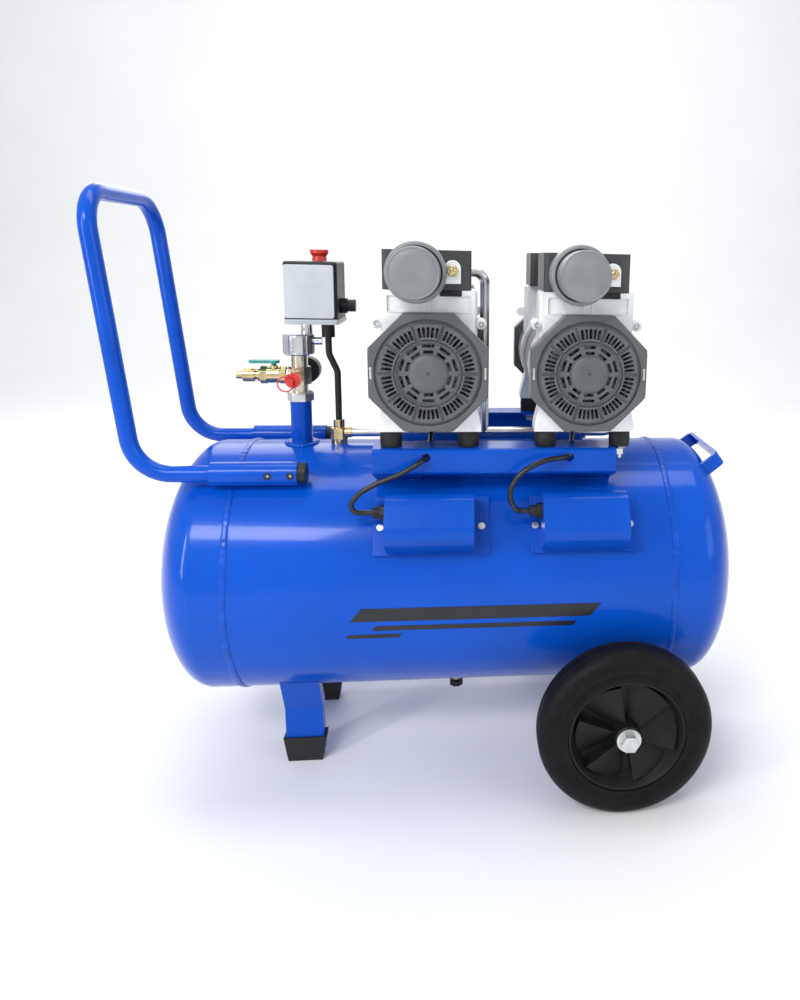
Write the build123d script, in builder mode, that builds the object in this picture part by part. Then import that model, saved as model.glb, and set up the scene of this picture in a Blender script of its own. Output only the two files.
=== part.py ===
from build123d import *

import math
import os

# Portable twin-pump air compressor with a 50 litre tank.
# Frame: X along the tank (wheels at +X), -Y is the front, Z up, floor at Z = 0.
# All sizes are in millimetres. X is drawn from a working datum on the tank, and each
# finished piece is then moved along X by FRAME_SHIFT, so that X = 0 is midway along the
# overall length.
FRAME_SHIFT = 8

# tank
TANK_X = 15
TANK_Z = 240
TANK_R = 155
TANK_WALL = 3
SHELL_HALF = 256
END_STRAIGHT = 36
DOME_DEPTH = 62
TANK_HALF = SHELL_HALF + END_STRAIGHT + DOME_DEPTH
TANK_TOP = TANK_Z + TANK_R
TANK_BOTTOM = TANK_Z - TANK_R
WELD_GAP = 0.05

# saddle rails that carry the pumps
SADDLE_X0 = -79
SADDLE_X1 = 200
SADDLE_TOP = 416
SADDLE_FRONT = 125
SADDLE_INNER = 85
SHEET = 3

# wheels
WHEEL_X = 208
WHEEL_Z = 101.5
WHEEL_R = 101.5
WHEEL_OUT = 212
WHEEL_IN = 166
RIM_R = 68
AXLE_R = 6

# legs
LEG_X = -174
LEG_W = 46
LEG_Y = 76

# pull handle
HANDLE_Y = 98
HANDLE_Z = 382
TUBE_R = 9.5
TUBE_WALL = 1.6
SLEEVE_R = 13.5
SLEEVE_X0 = -262
SLEEVE_X1 = -165

# pumps
PUMP_XS = {"left": -15, "right": 162}
PUMP_Z = 505
PUMP_FRONT = 142
BLOCK_FRONT = 120
BLOCK_BACK = 62
BLOCK_HALF = 51
BLOCK_TOP = 594
HEAD_TOP = 637
CYL_Y = 91
CYL_R = 24
CRANK_THROW = 6
MOUNT_X = 44
MOUNT_Y = 106
MOUNT_H = 19
MOUNT_R = 12
GUARD_HALF = 65
SIDES = {"front": -1, "rear": 1}

# riser, manifold and pressure switch
RISER_X = -179
MANIFOLD_Z = 481
SWITCH_X0 = -188
SWITCH_X1 = -126
SWITCH_Z0 = 547
SWITCH_Z1 = 621
SWITCH_HALF = 35
KNOB_X = -151
CHECK_X = -133

# capacitor housings, set round the front of the tank
CAP_ANGLE = 34
CAP_SPANS = {"left": (-78, 53, -63, 35), "right": (100, 226, 112, 209)}

os.makedirs("parts", exist_ok=True)


def facing_front(x, y, z):
    """A plane whose sketch X is +X, sketch Y is +Z and normal is -Y."""
    return Plane(origin=(x, y, z), x_dir=(1, 0, 0), z_dir=(0, -1, 0))


def facing_right(x, y, z):
    """A plane whose sketch X is +Y, sketch Y is +Z and normal is +X."""
    return Plane(origin=(x, y, z), x_dir=(0, 1, 0), z_dir=(1, 0, 0))


def facing_up(x, y, z):
    """A plane whose sketch X is +X, sketch Y is +Y and normal is +Z."""
    return Plane(origin=(x, y, z), x_dir=(1, 0, 0), z_dir=(0, 0, 1))


def facing(side, x, y, z):
    """A plane across Y: side -1 looks to the front, side 1 to the rear, sketch Y is +Z."""
    return Plane(origin=(x, side * y, z), x_dir=(-side, 0, 0), z_dir=(0, side, 0))


def bar(plane, radius, length, mode=Mode.ADD):
    """A round bar that starts on the plane and runs along its normal."""
    with BuildSketch(plane) as section:
        Circle(radius)
    extrude(section.sketch, amount=length, mode=mode)


def ring(plane, outer, inner, length, mode=Mode.ADD):
    """A round sleeve that starts on the plane and runs along its normal."""
    with BuildSketch(plane) as section:
        Circle(outer)
        Circle(inner, mode=Mode.SUBTRACT)
    extrude(section.sketch, amount=length, mode=mode)


def hexagon(plane, across_flats, length, mode=Mode.ADD):
    """A hexagonal prism that starts on the plane and runs along its normal."""
    with BuildSketch(plane) as section:
        RegularPolygon(across_flats / 2, 6, major_radius=False)
    extrude(section.sketch, amount=length, mode=mode)


def block(plane, width, height, length, mode=Mode.ADD):
    """A rectangular prism centred on the plane's origin, along its normal."""
    with BuildSketch(plane) as section:
        Rectangle(width, height)
    extrude(section.sketch, amount=length, mode=mode)


def tube_along(points, radii, outer, inner=0):
    """A round tube whose straight runs are joined by tangent arcs."""
    with BuildLine() as path:
        FilletPolyline(*points, radius=radii)
    start = path.line @ 0
    heading = path.line % 0
    with BuildSketch(Plane(origin=start, z_dir=heading)) as section:
        Circle(outer)
        if inner:
            Circle(inner, mode=Mode.SUBTRACT)
    sweep(section.sketch, path=path.line)


def save(builder, name):
    """Move the finished piece to the part's frame, label it and write its STEP file."""
    piece = builder.part.moved(Location((FRAME_SHIFT, 0, 0)))
    piece.label = name
    export_step(piece, f"parts/{name}.step")


# ---------------------------------------------------------------- tank

with BuildPart() as envelope:
    with BuildSketch(Plane.XZ):
        with BuildLine():
            reach = SHELL_HALF + END_STRAIGHT
            outer_r = TANK_R + WELD_GAP
            Line((TANK_X - TANK_HALF, TANK_Z), (TANK_X + TANK_HALF, TANK_Z))
            EllipticalCenterArc((TANK_X + reach, TANK_Z), DOME_DEPTH, outer_r, 0)
            Line((TANK_X + reach, TANK_Z + outer_r), (TANK_X - reach, TANK_Z + outer_r))
            EllipticalCenterArc((TANK_X - reach, TANK_Z), DOME_DEPTH, outer_r, 90)
        make_face()
    revolve(axis=Axis((0, 0, TANK_Z), (1, 0, 0)))
tank_envelope = envelope.part

with BuildPart() as tank_shell:
    ring(facing_right(TANK_X - SHELL_HALF, 0, TANK_Z), TANK_R, TANK_R - TANK_WALL, 2 * SHELL_HALF)
    bar(facing_up(RISER_X, 0, TANK_Z), 9, TANK_R + 5, Mode.SUBTRACT)
    bar(facing_up(CHECK_X, 0, TANK_Z), 6, TANK_R + 5, Mode.SUBTRACT)
    bar(facing_up(TANK_X, 0, TANK_BOTTOM - 5), 5, TANK_R, Mode.SUBTRACT)
save(tank_shell, "tank_shell")


def dome(side):
    """One dished end: a short straight flange and a hollow elliptical dome."""
    seam = TANK_X + side * SHELL_HALF
    spring = seam + side * END_STRAIGHT
    tip = spring + side * DOME_DEPTH
    quarter = 0 if side > 0 else 90
    inner_r = TANK_R - TANK_WALL
    with BuildSketch(Plane.XZ) as section:
        with BuildLine():
            Line((seam, TANK_Z + inner_r), (seam, TANK_Z + TANK_R))
            Line((seam, TANK_Z + TANK_R), (spring, TANK_Z + TANK_R))
            EllipticalCenterArc((spring, TANK_Z), DOME_DEPTH, TANK_R, quarter)
            Line((tip, TANK_Z), (tip - side * TANK_WALL, TANK_Z))
            EllipticalCenterArc((spring, TANK_Z), DOME_DEPTH - TANK_WALL, inner_r, quarter)
            Line((spring, TANK_Z + inner_r), (seam, TANK_Z + inner_r))
        make_face()
    revolve(section.sketch, axis=Axis((0, 0, TANK_Z), (1, 0, 0)))


BOSS_FACE = TANK_X - TANK_HALF - 4
PLUG_SHANK_R = 16

with BuildPart() as tank_ends:
    dome(1)
    dome(-1)
    bar(facing_right(BOSS_FACE, 0, TANK_Z), 24, 6)
    bar(facing_right(BOSS_FACE - 1, 0, TANK_Z), PLUG_SHANK_R + 0.05, 20, Mode.SUBTRACT)
save(tank_ends, "tank_ends")

with BuildPart() as tank_plug:
    hexagon(facing_right(BOSS_FACE - 11, 0, TANK_Z), 35, 9)
    bar(facing_right(BOSS_FACE - 2, 0, TANK_Z), 20, 2)
    bar(facing_right(BOSS_FACE, 0, TANK_Z), PLUG_SHANK_R, 14)
save(tank_plug, "tank_plug")

# ---------------------------------------------------------------- saddle rails

LEAD_HOLE_XS = {"left": -19, "right": 145}
LEAD_HOLE_Z = 406
SKIRT_TOP = 387
SKIRT_SLOPE = 0.415


def saddle(side):
    """One bent-sheet rail: flange, web and a skirt that meets the tank."""
    skirt_y = 78
    drop = SKIRT_SLOPE * (SADDLE_FRONT - skirt_y)
    lift = SHEET * math.sqrt(1 + SKIRT_SLOPE ** 2)
    web_in = SADDLE_FRONT - SHEET
    inner_bend = SKIRT_TOP - SKIRT_SLOPE * SHEET + lift
    with BuildSketch(facing_right(SADDLE_X0, 0, 0)) as section:
        with BuildLine():
            outer = FilletPolyline(
                (side * SADDLE_INNER, SADDLE_TOP),
                (side * SADDLE_FRONT, SADDLE_TOP),
                (side * SADDLE_FRONT, SKIRT_TOP),
                (side * skirt_y, SKIRT_TOP - drop),
                radius=5,
            )
            inner = FilletPolyline(
                (side * SADDLE_INNER, SADDLE_TOP - SHEET),
                (side * web_in, SADDLE_TOP - SHEET),
                (side * web_in, inner_bend),
                (side * skirt_y, SKIRT_TOP - drop + lift),
                radius=2,
            )
            Line(outer @ 0, inner @ 0)
            Line(outer @ 1, inner @ 1)
        make_face()
    extrude(section.sketch, amount=SADDLE_X1 - SADDLE_X0)
    for x in PUMP_XS.values():
        for dx in (-MOUNT_X, MOUNT_X):
            bar(facing_up(x + dx, side * MOUNT_Y, SADDLE_TOP - 8), 4.3, 12, Mode.SUBTRACT)
    add(tank_envelope, mode=Mode.SUBTRACT)


with BuildPart() as saddle_front:
    saddle(-1)
    for hole_x in LEAD_HOLE_XS.values():
        bar(facing_front(hole_x, -SADDLE_FRONT + 8, LEAD_HOLE_Z), 5, 12, Mode.SUBTRACT)
save(saddle_front, "saddle_front")

with BuildPart() as saddle_rear:
    saddle(1)
save(saddle_rear, "saddle_rear")

# ---------------------------------------------------------------- legs and feet

LEG_PLATE = 4
LEG_DEPTH = 16
LEG_BEND_Z = 71
FOOT_H = 32
FOOT_SOLE = 8

with BuildPart() as legs:
    for side in SIDES.values():
        with BuildSketch(facing_right(LEG_X - LEG_W / 2, 0, 0)) as leg_side:
            with BuildLine():
                Polyline(
                    (side * (LEG_Y + 26), 128),
                    (side * LEG_Y, LEG_BEND_Z),
                    (side * LEG_Y, FOOT_SOLE),
                    (side * (LEG_Y - LEG_DEPTH), FOOT_SOLE),
                    (side * (LEG_Y - LEG_DEPTH), LEG_BEND_Z + 4),
                    (side * (LEG_Y + 10), 128),
                    close=True,
                )
            make_face()
        extrude(amount=LEG_W)
        with BuildSketch(facing_right(LEG_X - LEG_W / 2 + LEG_PLATE, 0, 0)) as leg_hollow:
            with BuildLine():
                Polyline(
                    (side * (LEG_Y + 26 - LEG_PLATE), 130),
                    (side * (LEG_Y - LEG_PLATE), LEG_BEND_Z),
                    (side * (LEG_Y - LEG_PLATE), FOOT_SOLE - 2),
                    (side * (LEG_Y - LEG_DEPTH - 2), FOOT_SOLE - 2),
                    (side * (LEG_Y - LEG_DEPTH - 2), LEG_BEND_Z + 6),
                    (side * (LEG_Y + 6), 130),
                    close=True,
                )
            make_face()
        extrude(amount=LEG_W - 2 * LEG_PLATE, mode=Mode.SUBTRACT)
    add(tank_envelope, mode=Mode.SUBTRACT)
save(legs, "legs")

with BuildPart() as rubber_feet:
    for side in SIDES.values():
        mid_y = side * (LEG_Y - LEG_DEPTH / 2)
        with BuildSketch(facing_up(LEG_X, mid_y, 0)) as sole:
            Rectangle(LEG_W - 4, LEG_DEPTH + 4)
        with BuildSketch(facing_up(LEG_X, mid_y, FOOT_H)) as cuff:
            Rectangle(LEG_W + 6, LEG_DEPTH + 6)
        loft([sole.sketch.face(), cuff.sketch.face()])
        block(facing_up(LEG_X, mid_y, FOOT_SOLE - 0.1), LEG_W + 0.2, LEG_DEPTH + 0.2, FOOT_H, Mode.SUBTRACT)
save(rubber_feet, "rubber_feet")

# ---------------------------------------------------------------- wheels and axles

BRACKET_HALF = 30
BRACKET_WALL = 4
BRACKET_FACE = 5
BRACKET_IN = 60
BRACKET_OUT = 157
NUT_T = 10
BRACKET_Z0 = 82
BRACKET_Z1 = 146
WASHER_T = 2
HUB_OUT = 214
HUB_IN = 164
END_PLAY = 0.3

with BuildPart() as axle_brackets:
    mid_z = (BRACKET_Z0 + BRACKET_Z1) / 2
    tall = BRACKET_Z1 - BRACKET_Z0
    for side in SIDES.values():
        inside = 2 * (BRACKET_HALF - BRACKET_WALL)
        depth = BRACKET_OUT - BRACKET_IN
        hollow_z = mid_z - BRACKET_WALL
        block(facing(side, WHEEL_X, BRACKET_IN, mid_z), 2 * BRACKET_HALF, tall, depth)
        block(facing(side, WHEEL_X, BRACKET_IN, hollow_z), inside, tall, depth - BRACKET_FACE, Mode.SUBTRACT)
        bar(facing(side, WHEEL_X, 140, WHEEL_Z), AXLE_R + 0.1, 30, Mode.SUBTRACT)
    add(tank_envelope, mode=Mode.SUBTRACT)
save(axle_brackets, "axle_brackets")

with BuildPart() as axle_bolts:
    for side in SIDES.values():
        head = HUB_OUT + END_PLAY + WASHER_T
        spacer = HUB_IN - END_PLAY - BRACKET_OUT - 0.05
        bar(facing(side, WHEEL_X, 138, WHEEL_Z), AXLE_R, head - 138)
        hexagon(facing(side, WHEEL_X, head, WHEEL_Z), 18, 8)
        ring(facing(side, WHEEL_X, HUB_OUT + END_PLAY, WHEEL_Z), 14, AXLE_R + 0.05, WASHER_T - 0.05)
        ring(facing(side, WHEEL_X, BRACKET_OUT + 0.05, WHEEL_Z), 12, AXLE_R + 0.05, spacer)
        nut_y = BRACKET_OUT - BRACKET_FACE - NUT_T - 0.1
        with BuildSketch(facing(side, WHEEL_X, nut_y, WHEEL_Z)) as nut:
            RegularPolygon(9, 6, major_radius=False)
            Circle(AXLE_R + 0.05, mode=Mode.SUBTRACT)
        extrude(nut.sketch, amount=10)
save(axle_bolts, "axle_bolts")


def tyre(side):
    """A solid rubber tyre with rounded shoulders."""
    with BuildSketch(Plane.YZ.offset(WHEEL_X)) as section:
        with BuildLine():
            low = WHEEL_Z + RIM_R
            high = WHEEL_Z + WHEEL_R
            shoulder = 16
            Polyline(
                (side * (WHEEL_IN + shoulder), high),
                (side * (WHEEL_OUT - shoulder), high),
            )
            TangentArc(
                (side * (WHEEL_OUT - shoulder), high),
                (side * WHEEL_OUT, high - shoulder),
                tangent=(side, 0),
            )
            Line((side * WHEEL_OUT, high - shoulder), (side * (WHEEL_OUT - 2), low))
            Line((side * (WHEEL_OUT - 2), low), (side * (WHEEL_IN + 2), low))
            Line((side * (WHEEL_IN + 2), low), (side * WHEEL_IN, high - shoulder))
            TangentArc(
                (side * (WHEEL_IN + shoulder), high),
                (side * WHEEL_IN, high - shoulder),
                tangent=(-side, 0),
            )
        make_face()
    revolve(section.sketch, axis=Axis((WHEEL_X, 0, WHEEL_Z), (0, 1, 0)))


def hub(side):
    """A moulded hub: rim, web, boss and six ribs round a plain bore."""
    def at(y):
        return facing(side, WHEEL_X, y, WHEEL_Z)
    ring(at(WHEEL_IN + 3), RIM_R - 0.1, RIM_R - 7, WHEEL_OUT - WHEEL_IN - 6)
    bar(at(186), RIM_R - 6, 6)
    bar(at(HUB_IN), 16, HUB_OUT - HUB_IN)
    with BuildSketch(at(176)) as ribs:
        with PolarLocations(40, 6):
            Rectangle(50, 4)
    extrude(ribs.sketch, amount=26)
    bar(at(HUB_IN - 1), AXLE_R + 0.05, HUB_OUT - HUB_IN + 2, Mode.SUBTRACT)


for place, side in SIDES.items():
    with BuildPart() as wheel_tyre:
        tyre(side)
    save(wheel_tyre, f"wheel_{place}_tyre")
    with BuildPart() as wheel_hub:
        hub(side)
    save(wheel_hub, f"wheel_{place}_hub")

# ---------------------------------------------------------------- handles

HANDLE_TOP_X = -376
HANDLE_TOP_Z = 692
HANDLE_CORNER_X = -344
HANDLE_END_X = -180
HANDLE_BEND_R = 45

with BuildPart() as pull_handle:
    tube_along(
        [
            (HANDLE_END_X, -HANDLE_Y, HANDLE_Z),
            (HANDLE_CORNER_X, -HANDLE_Y, HANDLE_Z),
            (HANDLE_TOP_X, -HANDLE_Y, HANDLE_TOP_Z),
            (HANDLE_TOP_X, HANDLE_Y, HANDLE_TOP_Z),
            (HANDLE_CORNER_X, HANDLE_Y, HANDLE_Z),
            (HANDLE_END_X, HANDLE_Y, HANDLE_Z),
        ],
        4 * [HANDLE_BEND_R],
        TUBE_R,
        TUBE_R - TUBE_WALL,
    )
save(pull_handle, "pull_handle")

SCREW_XS = (-197, -172)

with BuildPart() as handle_sleeves:
    for side in SIDES.values():
        start = facing_right(SLEEVE_X0, side * HANDLE_Y, HANDLE_Z)
        ring(start, SLEEVE_R, TUBE_R + 0.05, SLEEVE_X1 - SLEEVE_X0)
        for x in SCREW_XS:
            bar(facing(side, x, HANDLE_Y, HANDLE_Z), 4, SLEEVE_R + 2, Mode.SUBTRACT)
    add(tank_envelope, mode=Mode.SUBTRACT)
save(handle_sleeves, "handle_sleeves")

with BuildPart() as sleeve_caps:
    for side in SIDES.values():
        bar(facing_right(SLEEVE_X1 - 8, side * HANDLE_Y, HANDLE_Z), TUBE_R, 8.1)
        bar(facing_right(SLEEVE_X1 + 0.05, side * HANDLE_Y, HANDLE_Z), SLEEVE_R - 1.5, 9)
    add(tank_envelope, mode=Mode.SUBTRACT)
save(sleeve_caps, "sleeve_caps")

LIFT_X = 336
LIFT_LEG_Y = 58
LIFT_SPLAY = 3
LIFT_RISE = 17
LIFT_BAR = 4
LIFT_WIDTH = 18
LIFT_ROOT = 30

with BuildPart() as lift_handle:
    dx = (LIFT_X - TANK_X - SHELL_HALF - END_STRAIGHT) / DOME_DEPTH
    lift_r = TANK_R * math.sqrt(1 - dx ** 2)
    slope = math.atan2(lift_r / TANK_R ** 2, dx / DOME_DEPTH)
    out_x = math.cos(slope)
    out_z = math.sin(slope)
    lift_plane = Plane(
        origin=(LIFT_X, 0, TANK_Z + lift_r), x_dir=(0, 1, 0), z_dir=(out_z, 0, -out_x)
    )
    with BuildSketch(lift_plane):
        with BuildLine():
            over = FilletPolyline(
                (-LIFT_LEG_Y - LIFT_SPLAY, -LIFT_ROOT),
                (-LIFT_LEG_Y, LIFT_RISE),
                (LIFT_LEG_Y, LIFT_RISE),
                (LIFT_LEG_Y + LIFT_SPLAY, -LIFT_ROOT),
                radius=9,
            )
            under = FilletPolyline(
                (-LIFT_LEG_Y - LIFT_SPLAY + LIFT_BAR, -LIFT_ROOT),
                (-LIFT_LEG_Y + LIFT_BAR, LIFT_RISE - LIFT_BAR),
                (LIFT_LEG_Y - LIFT_BAR, LIFT_RISE - LIFT_BAR),
                (LIFT_LEG_Y + LIFT_SPLAY - LIFT_BAR, -LIFT_ROOT),
                radius=5,
            )
            Line(over @ 0, under @ 0)
            Line(over @ 1, under @ 1)
        make_face()
    extrude(amount=LIFT_WIDTH / 2, both=True)
    add(tank_envelope, mode=Mode.SUBTRACT)
save(lift_handle, "lift_handle")

# ---------------------------------------------------------------- riser and manifold

RISER_TOP = 449

with BuildPart() as riser_pipe:
    bar(facing_up(RISER_X, 0, TANK_TOP - 8), 18, 11)
    bar(facing_up(RISER_X, 0, TANK_TOP), 13, RISER_TOP - TANK_TOP)
    bar(facing_up(RISER_X, 0, TANK_TOP - 10), 9, 80, Mode.SUBTRACT)
    add(tank_envelope, mode=Mode.SUBTRACT)
save(riser_pipe, "riser_pipe")

COLUMN_R = 10
DRUM_Z0 = 507
DRUM_Z1 = 533
ARM_R = 7
ARM_LEN = 16

with BuildPart() as manifold:
    hexagon(facing_up(RISER_X, 0, RISER_TOP + 0.05), 27, 11)
    bar(facing_up(RISER_X, 0, RISER_TOP + 11), COLUMN_R, DRUM_Z0 - RISER_TOP - 11.05)
    hexagon(facing_up(RISER_X, 0, MANIFOLD_Z - 11), 24, 22)
    bar(Plane(origin=(RISER_X, 0, MANIFOLD_Z), z_dir=(-1, 0, 0)), ARM_R, ARM_LEN)
    for side in SIDES.values():
        bar(facing(side, RISER_X, 0, MANIFOLD_Z), ARM_R, ARM_LEN)
    bar(facing_up(RISER_X, 0, RISER_TOP - 1), 5, DRUM_Z0 - RISER_TOP + 2, Mode.SUBTRACT)
    bar(facing_front(RISER_X, 20, MANIFOLD_Z), 3, 40, Mode.SUBTRACT)
save(manifold, "manifold")

# ---------------------------------------------------------------- pressure switch

UNLOADER_X = -143

with BuildPart() as diaphragm_housing:
    bar(facing_up(RISER_X, 0, DRUM_Z0), 19.5, DRUM_Z1 - DRUM_Z0)
    chamfer(diaphragm_housing.edges().filter_by(GeomType.CIRCLE), 1.5)
    bar(facing_up(RISER_X + 10, 0, DRUM_Z1 - 0.5), 7, SWITCH_Z0 - DRUM_Z1 + 0.45)
    bar(facing_right(RISER_X + 15, 0, DRUM_Z1 - 9), 5, 14)
save(diaphragm_housing, "diaphragm_housing")

SWITCH_MID_X = (SWITCH_X0 + SWITCH_X1) / 2
SWITCH_W = SWITCH_X1 - SWITCH_X0
LIP_H = 6
COVER_WALL = 2.2

with BuildPart() as switch_base:
    with BuildSketch(facing_up(SWITCH_MID_X, 0, SWITCH_Z0)):
        RectangleRounded(SWITCH_W + 2, 2 * SWITCH_HALF + 2, 4)
    extrude(amount=LIP_H)
save(switch_base, "switch_base")

with BuildPart() as switch_cover:
    with BuildSketch(facing_up(SWITCH_MID_X, 0, SWITCH_Z0 + LIP_H + 0.05)):
        RectangleRounded(SWITCH_W, 2 * SWITCH_HALF, 4)
    extrude(amount=SWITCH_Z1 - SWITCH_Z0 - LIP_H - 0.05)
    top_edges = switch_cover.faces().sort_by(Axis.Z)[-1].edges()
    fillet(top_edges, 3)
    block(
        facing_up(SWITCH_MID_X, 0, SWITCH_Z0 + LIP_H),
        SWITCH_W - 2 * COVER_WALL,
        2 * (SWITCH_HALF - COVER_WALL),
        SWITCH_Z1 - SWITCH_Z0 - LIP_H - COVER_WALL,
        Mode.SUBTRACT,
    )
    bar(facing_up(KNOB_X, 0, SWITCH_Z1 - 10), 4, 20, Mode.SUBTRACT)
    bar(facing_right(SWITCH_X1 - 10, 0, 568), 6.5, 20, Mode.SUBTRACT)
save(switch_cover, "switch_cover")

with BuildPart() as switch_knob:
    bar(facing_up(KNOB_X, 0, 600), 3.6, 25)
    with BuildSketch(Plane.XZ):
        with BuildLine():
            Polyline(
                (KNOB_X, SWITCH_Z1 + 0.5),
                (KNOB_X + 9, SWITCH_Z1 + 0.5),
                (KNOB_X + 8, SWITCH_Z1 + 6),
                (KNOB_X + 11, SWITCH_Z1 + 10),
                (KNOB_X + 11, SWITCH_Z1 + 14),
                (KNOB_X, SWITCH_Z1 + 14),
                close=True,
            )
        make_face()
    revolve(axis=Axis((KNOB_X, 0, 0), (0, 0, 1)))
save(switch_knob, "switch_knob")


def cap_plane(depth, x=0.0, along=0.0):
    """A plane on a capacitor housing: sketch X is +X, sketch Y runs up the tank."""
    angle = math.radians(CAP_ANGLE)
    out = (0, -math.cos(angle), math.sin(angle))
    up = (0, math.sin(angle), math.cos(angle))
    reach = TANK_R + depth
    origin = (x, out[1] * reach + up[1] * along, TANK_Z + out[2] * reach + up[2] * along)
    return Plane(origin=origin, x_dir=(1, 0, 0), z_dir=out)


def cap_end_plane(x, depth, along=0.0):
    """A plane across a capacitor can, with its normal along +X."""
    flat = cap_plane(depth, x, along)
    return Plane(origin=flat.origin, x_dir=flat.y_dir, z_dir=(1, 0, 0))


CAN_DEPTH = 25
GLAND_LEN = 14
GLAND_RISE = 9.5

with BuildPart() as cable_glands:
    for _, _, can_x0, _ in CAP_SPANS.values():
        hexagon(cap_end_plane(can_x0 - 6, CAN_DEPTH, GLAND_RISE), 16, 5.9)
        bar(cap_end_plane(can_x0 - GLAND_LEN, CAN_DEPTH, GLAND_RISE), 6.5, GLAND_LEN - 6)
        bar(cap_end_plane(can_x0 - 0.2, CAN_DEPTH, GLAND_RISE), 5, 6)
    hexagon(facing_right(SWITCH_X1 + 0.05, 0, 568), 18, 7)
    bar(facing_right(SWITCH_X1 + 7, 0, 568), 7.5, 10)
    bar(facing_right(SWITCH_X1 - 6, 0, 568), 6.4, 7)
    bar(facing_up(UNLOADER_X, 0, SWITCH_Z0 - 18), 8, 17.95)
save(cable_glands, "cable_glands")

# ---------------------------------------------------------------- valves on the manifold

VALVE_X = RISER_X - ARM_LEN
VALVE_LEN = 31
STEM_X = VALVE_X - 15
LEVER_Z = MANIFOLD_Z + 15


def toward_left(x):
    """A plane across the outlet line, with its normal along -X."""
    return Plane(origin=(x, 0, MANIFOLD_Z), z_dir=(-1, 0, 0))


with BuildPart() as ball_valve_body:
    hexagon(toward_left(VALVE_X - 0.05), 19, 8)
    bar(toward_left(VALVE_X - 8), 10, 15)
    hexagon(toward_left(VALVE_X - 23), 19, 8)
    bar(facing_up(STEM_X, 0, MANIFOLD_Z), 5, 12)
    bar(toward_left(VALVE_X + 1), 4, VALVE_LEN + 2, Mode.SUBTRACT)
    bar(facing_up(STEM_X, 0, MANIFOLD_Z), 3.05, 20, Mode.SUBTRACT)
    with Locations((STEM_X, 0, MANIFOLD_Z)):
        Sphere(7.05, mode=Mode.SUBTRACT)
save(ball_valve_body, "ball_valve_body")

with BuildPart() as valve_lever:
    with Locations((STEM_X, 0, MANIFOLD_Z)):
        Sphere(7)
    bar(Plane(origin=(STEM_X + 8, 0, MANIFOLD_Z), z_dir=(-1, 0, 0)), 4, 16, Mode.SUBTRACT)
    bar(facing_up(STEM_X, 0, MANIFOLD_Z + 5.5), 3, 12)
    with BuildSketch(facing_up(STEM_X, 0, LEVER_Z)):
        Circle(7)
        with Locations((-13, 0)):
            SlotOverall(34, 11)
    extrude(amount=3.5)
save(valve_lever, "valve_lever")

TAIL_X = VALVE_X - VALVE_LEN
COUPLER_LEN = 22
OUTLET_R = 5
OUTLET_LEN = 7

with BuildPart() as coupler_body:
    bar(toward_left(TAIL_X - 0.05), 6, COUPLER_LEN)
    bar(toward_left(TAIL_X - 0.05), 8, 3)
    bar(toward_left(TAIL_X - COUPLER_LEN), OUTLET_R, OUTLET_LEN)
    bar(toward_left(TAIL_X + 1), 3.5, 40, Mode.SUBTRACT)
save(coupler_body, "coupler_body")

with BuildPart() as coupler_collar:
    ring(toward_left(TAIL_X - 6.5), 8.5, 6.05, 14)
save(coupler_collar, "coupler_collar")

SAFETY_Y = -ARM_LEN

with BuildPart() as safety_valve_body:
    hexagon(facing_front(RISER_X, SAFETY_Y - 0.05, MANIFOLD_Z), 15, 6)
    bar(facing_front(RISER_X, SAFETY_Y - 6, MANIFOLD_Z), 6.5, 12)
    bar(facing_front(RISER_X, SAFETY_Y + 1, MANIFOLD_Z), 2.5, 30, Mode.SUBTRACT)
save(safety_valve_body, "safety_valve_body")

RING_WIRE = 0.9
RING_R = 9

with BuildPart() as safety_valve_ring:
    bar(facing_front(RISER_X, SAFETY_Y - 19, MANIFOLD_Z), 9.2, 10)
    bar(facing_front(RISER_X, SAFETY_Y - 9, MANIFOLD_Z), 2.2, 25)
    with Locations(Location((RISER_X - 8, SAFETY_Y - 31, MANIFOLD_Z - 4), (0, 1, 0), 0)):
        Torus(RING_R, RING_WIRE, rotation=(90, 0, 0))
save(safety_valve_ring, "safety_valve_ring")

GAUGE_Y = 40
GAUGE_R = 17

with BuildPart() as gauge_case:
    bar(facing(1, RISER_X, GAUGE_Y, MANIFOLD_Z), GAUGE_R, 16)
    bar(facing(1, RISER_X, GAUGE_Y + 3, MANIFOLD_Z), GAUGE_R - 1.5, 16, Mode.SUBTRACT)
    bar(facing(1, RISER_X, ARM_LEN + 0.05, MANIFOLD_Z), 5, 24)
    hexagon(facing(1, RISER_X, ARM_LEN + 6, MANIFOLD_Z), 14, 8)
    bar(facing(1, RISER_X, GAUGE_Y + 2.5, MANIFOLD_Z), 1.2, 8)
save(gauge_case, "gauge_case")

with BuildPart() as gauge_needle:
    with BuildSketch(facing(1, RISER_X, GAUGE_Y + 7, MANIFOLD_Z)):
        Circle(3)
        with Locations(Location((0, 0), 225)):
            with Locations((5, 0)):
                Rectangle(15, 1.4)
        Circle(1.25, mode=Mode.SUBTRACT)
    extrude(amount=1)
save(gauge_needle, "gauge_needle")

# ---------------------------------------------------------------- tank fittings and pipes

PIPE_Z = 408
CHECK_TOP = 425

with BuildPart() as check_valve:
    bar(facing_up(CHECK_X, 0, TANK_TOP - 2), 10, 8)
    hexagon(facing_up(CHECK_X, 0, TANK_TOP + 5), 19, 14)
    bar(facing_up(CHECK_X, 0, TANK_TOP + 19), 7, CHECK_TOP - TANK_TOP - 19)
    bar(facing_right(CHECK_X, 0, PIPE_Z), 7, 16)
    bar(facing_up(CHECK_X, 0, TANK_TOP - 3), 3.5, 28, Mode.SUBTRACT)
    add(tank_envelope, mode=Mode.SUBTRACT)
save(check_valve, "check_valve")

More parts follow.
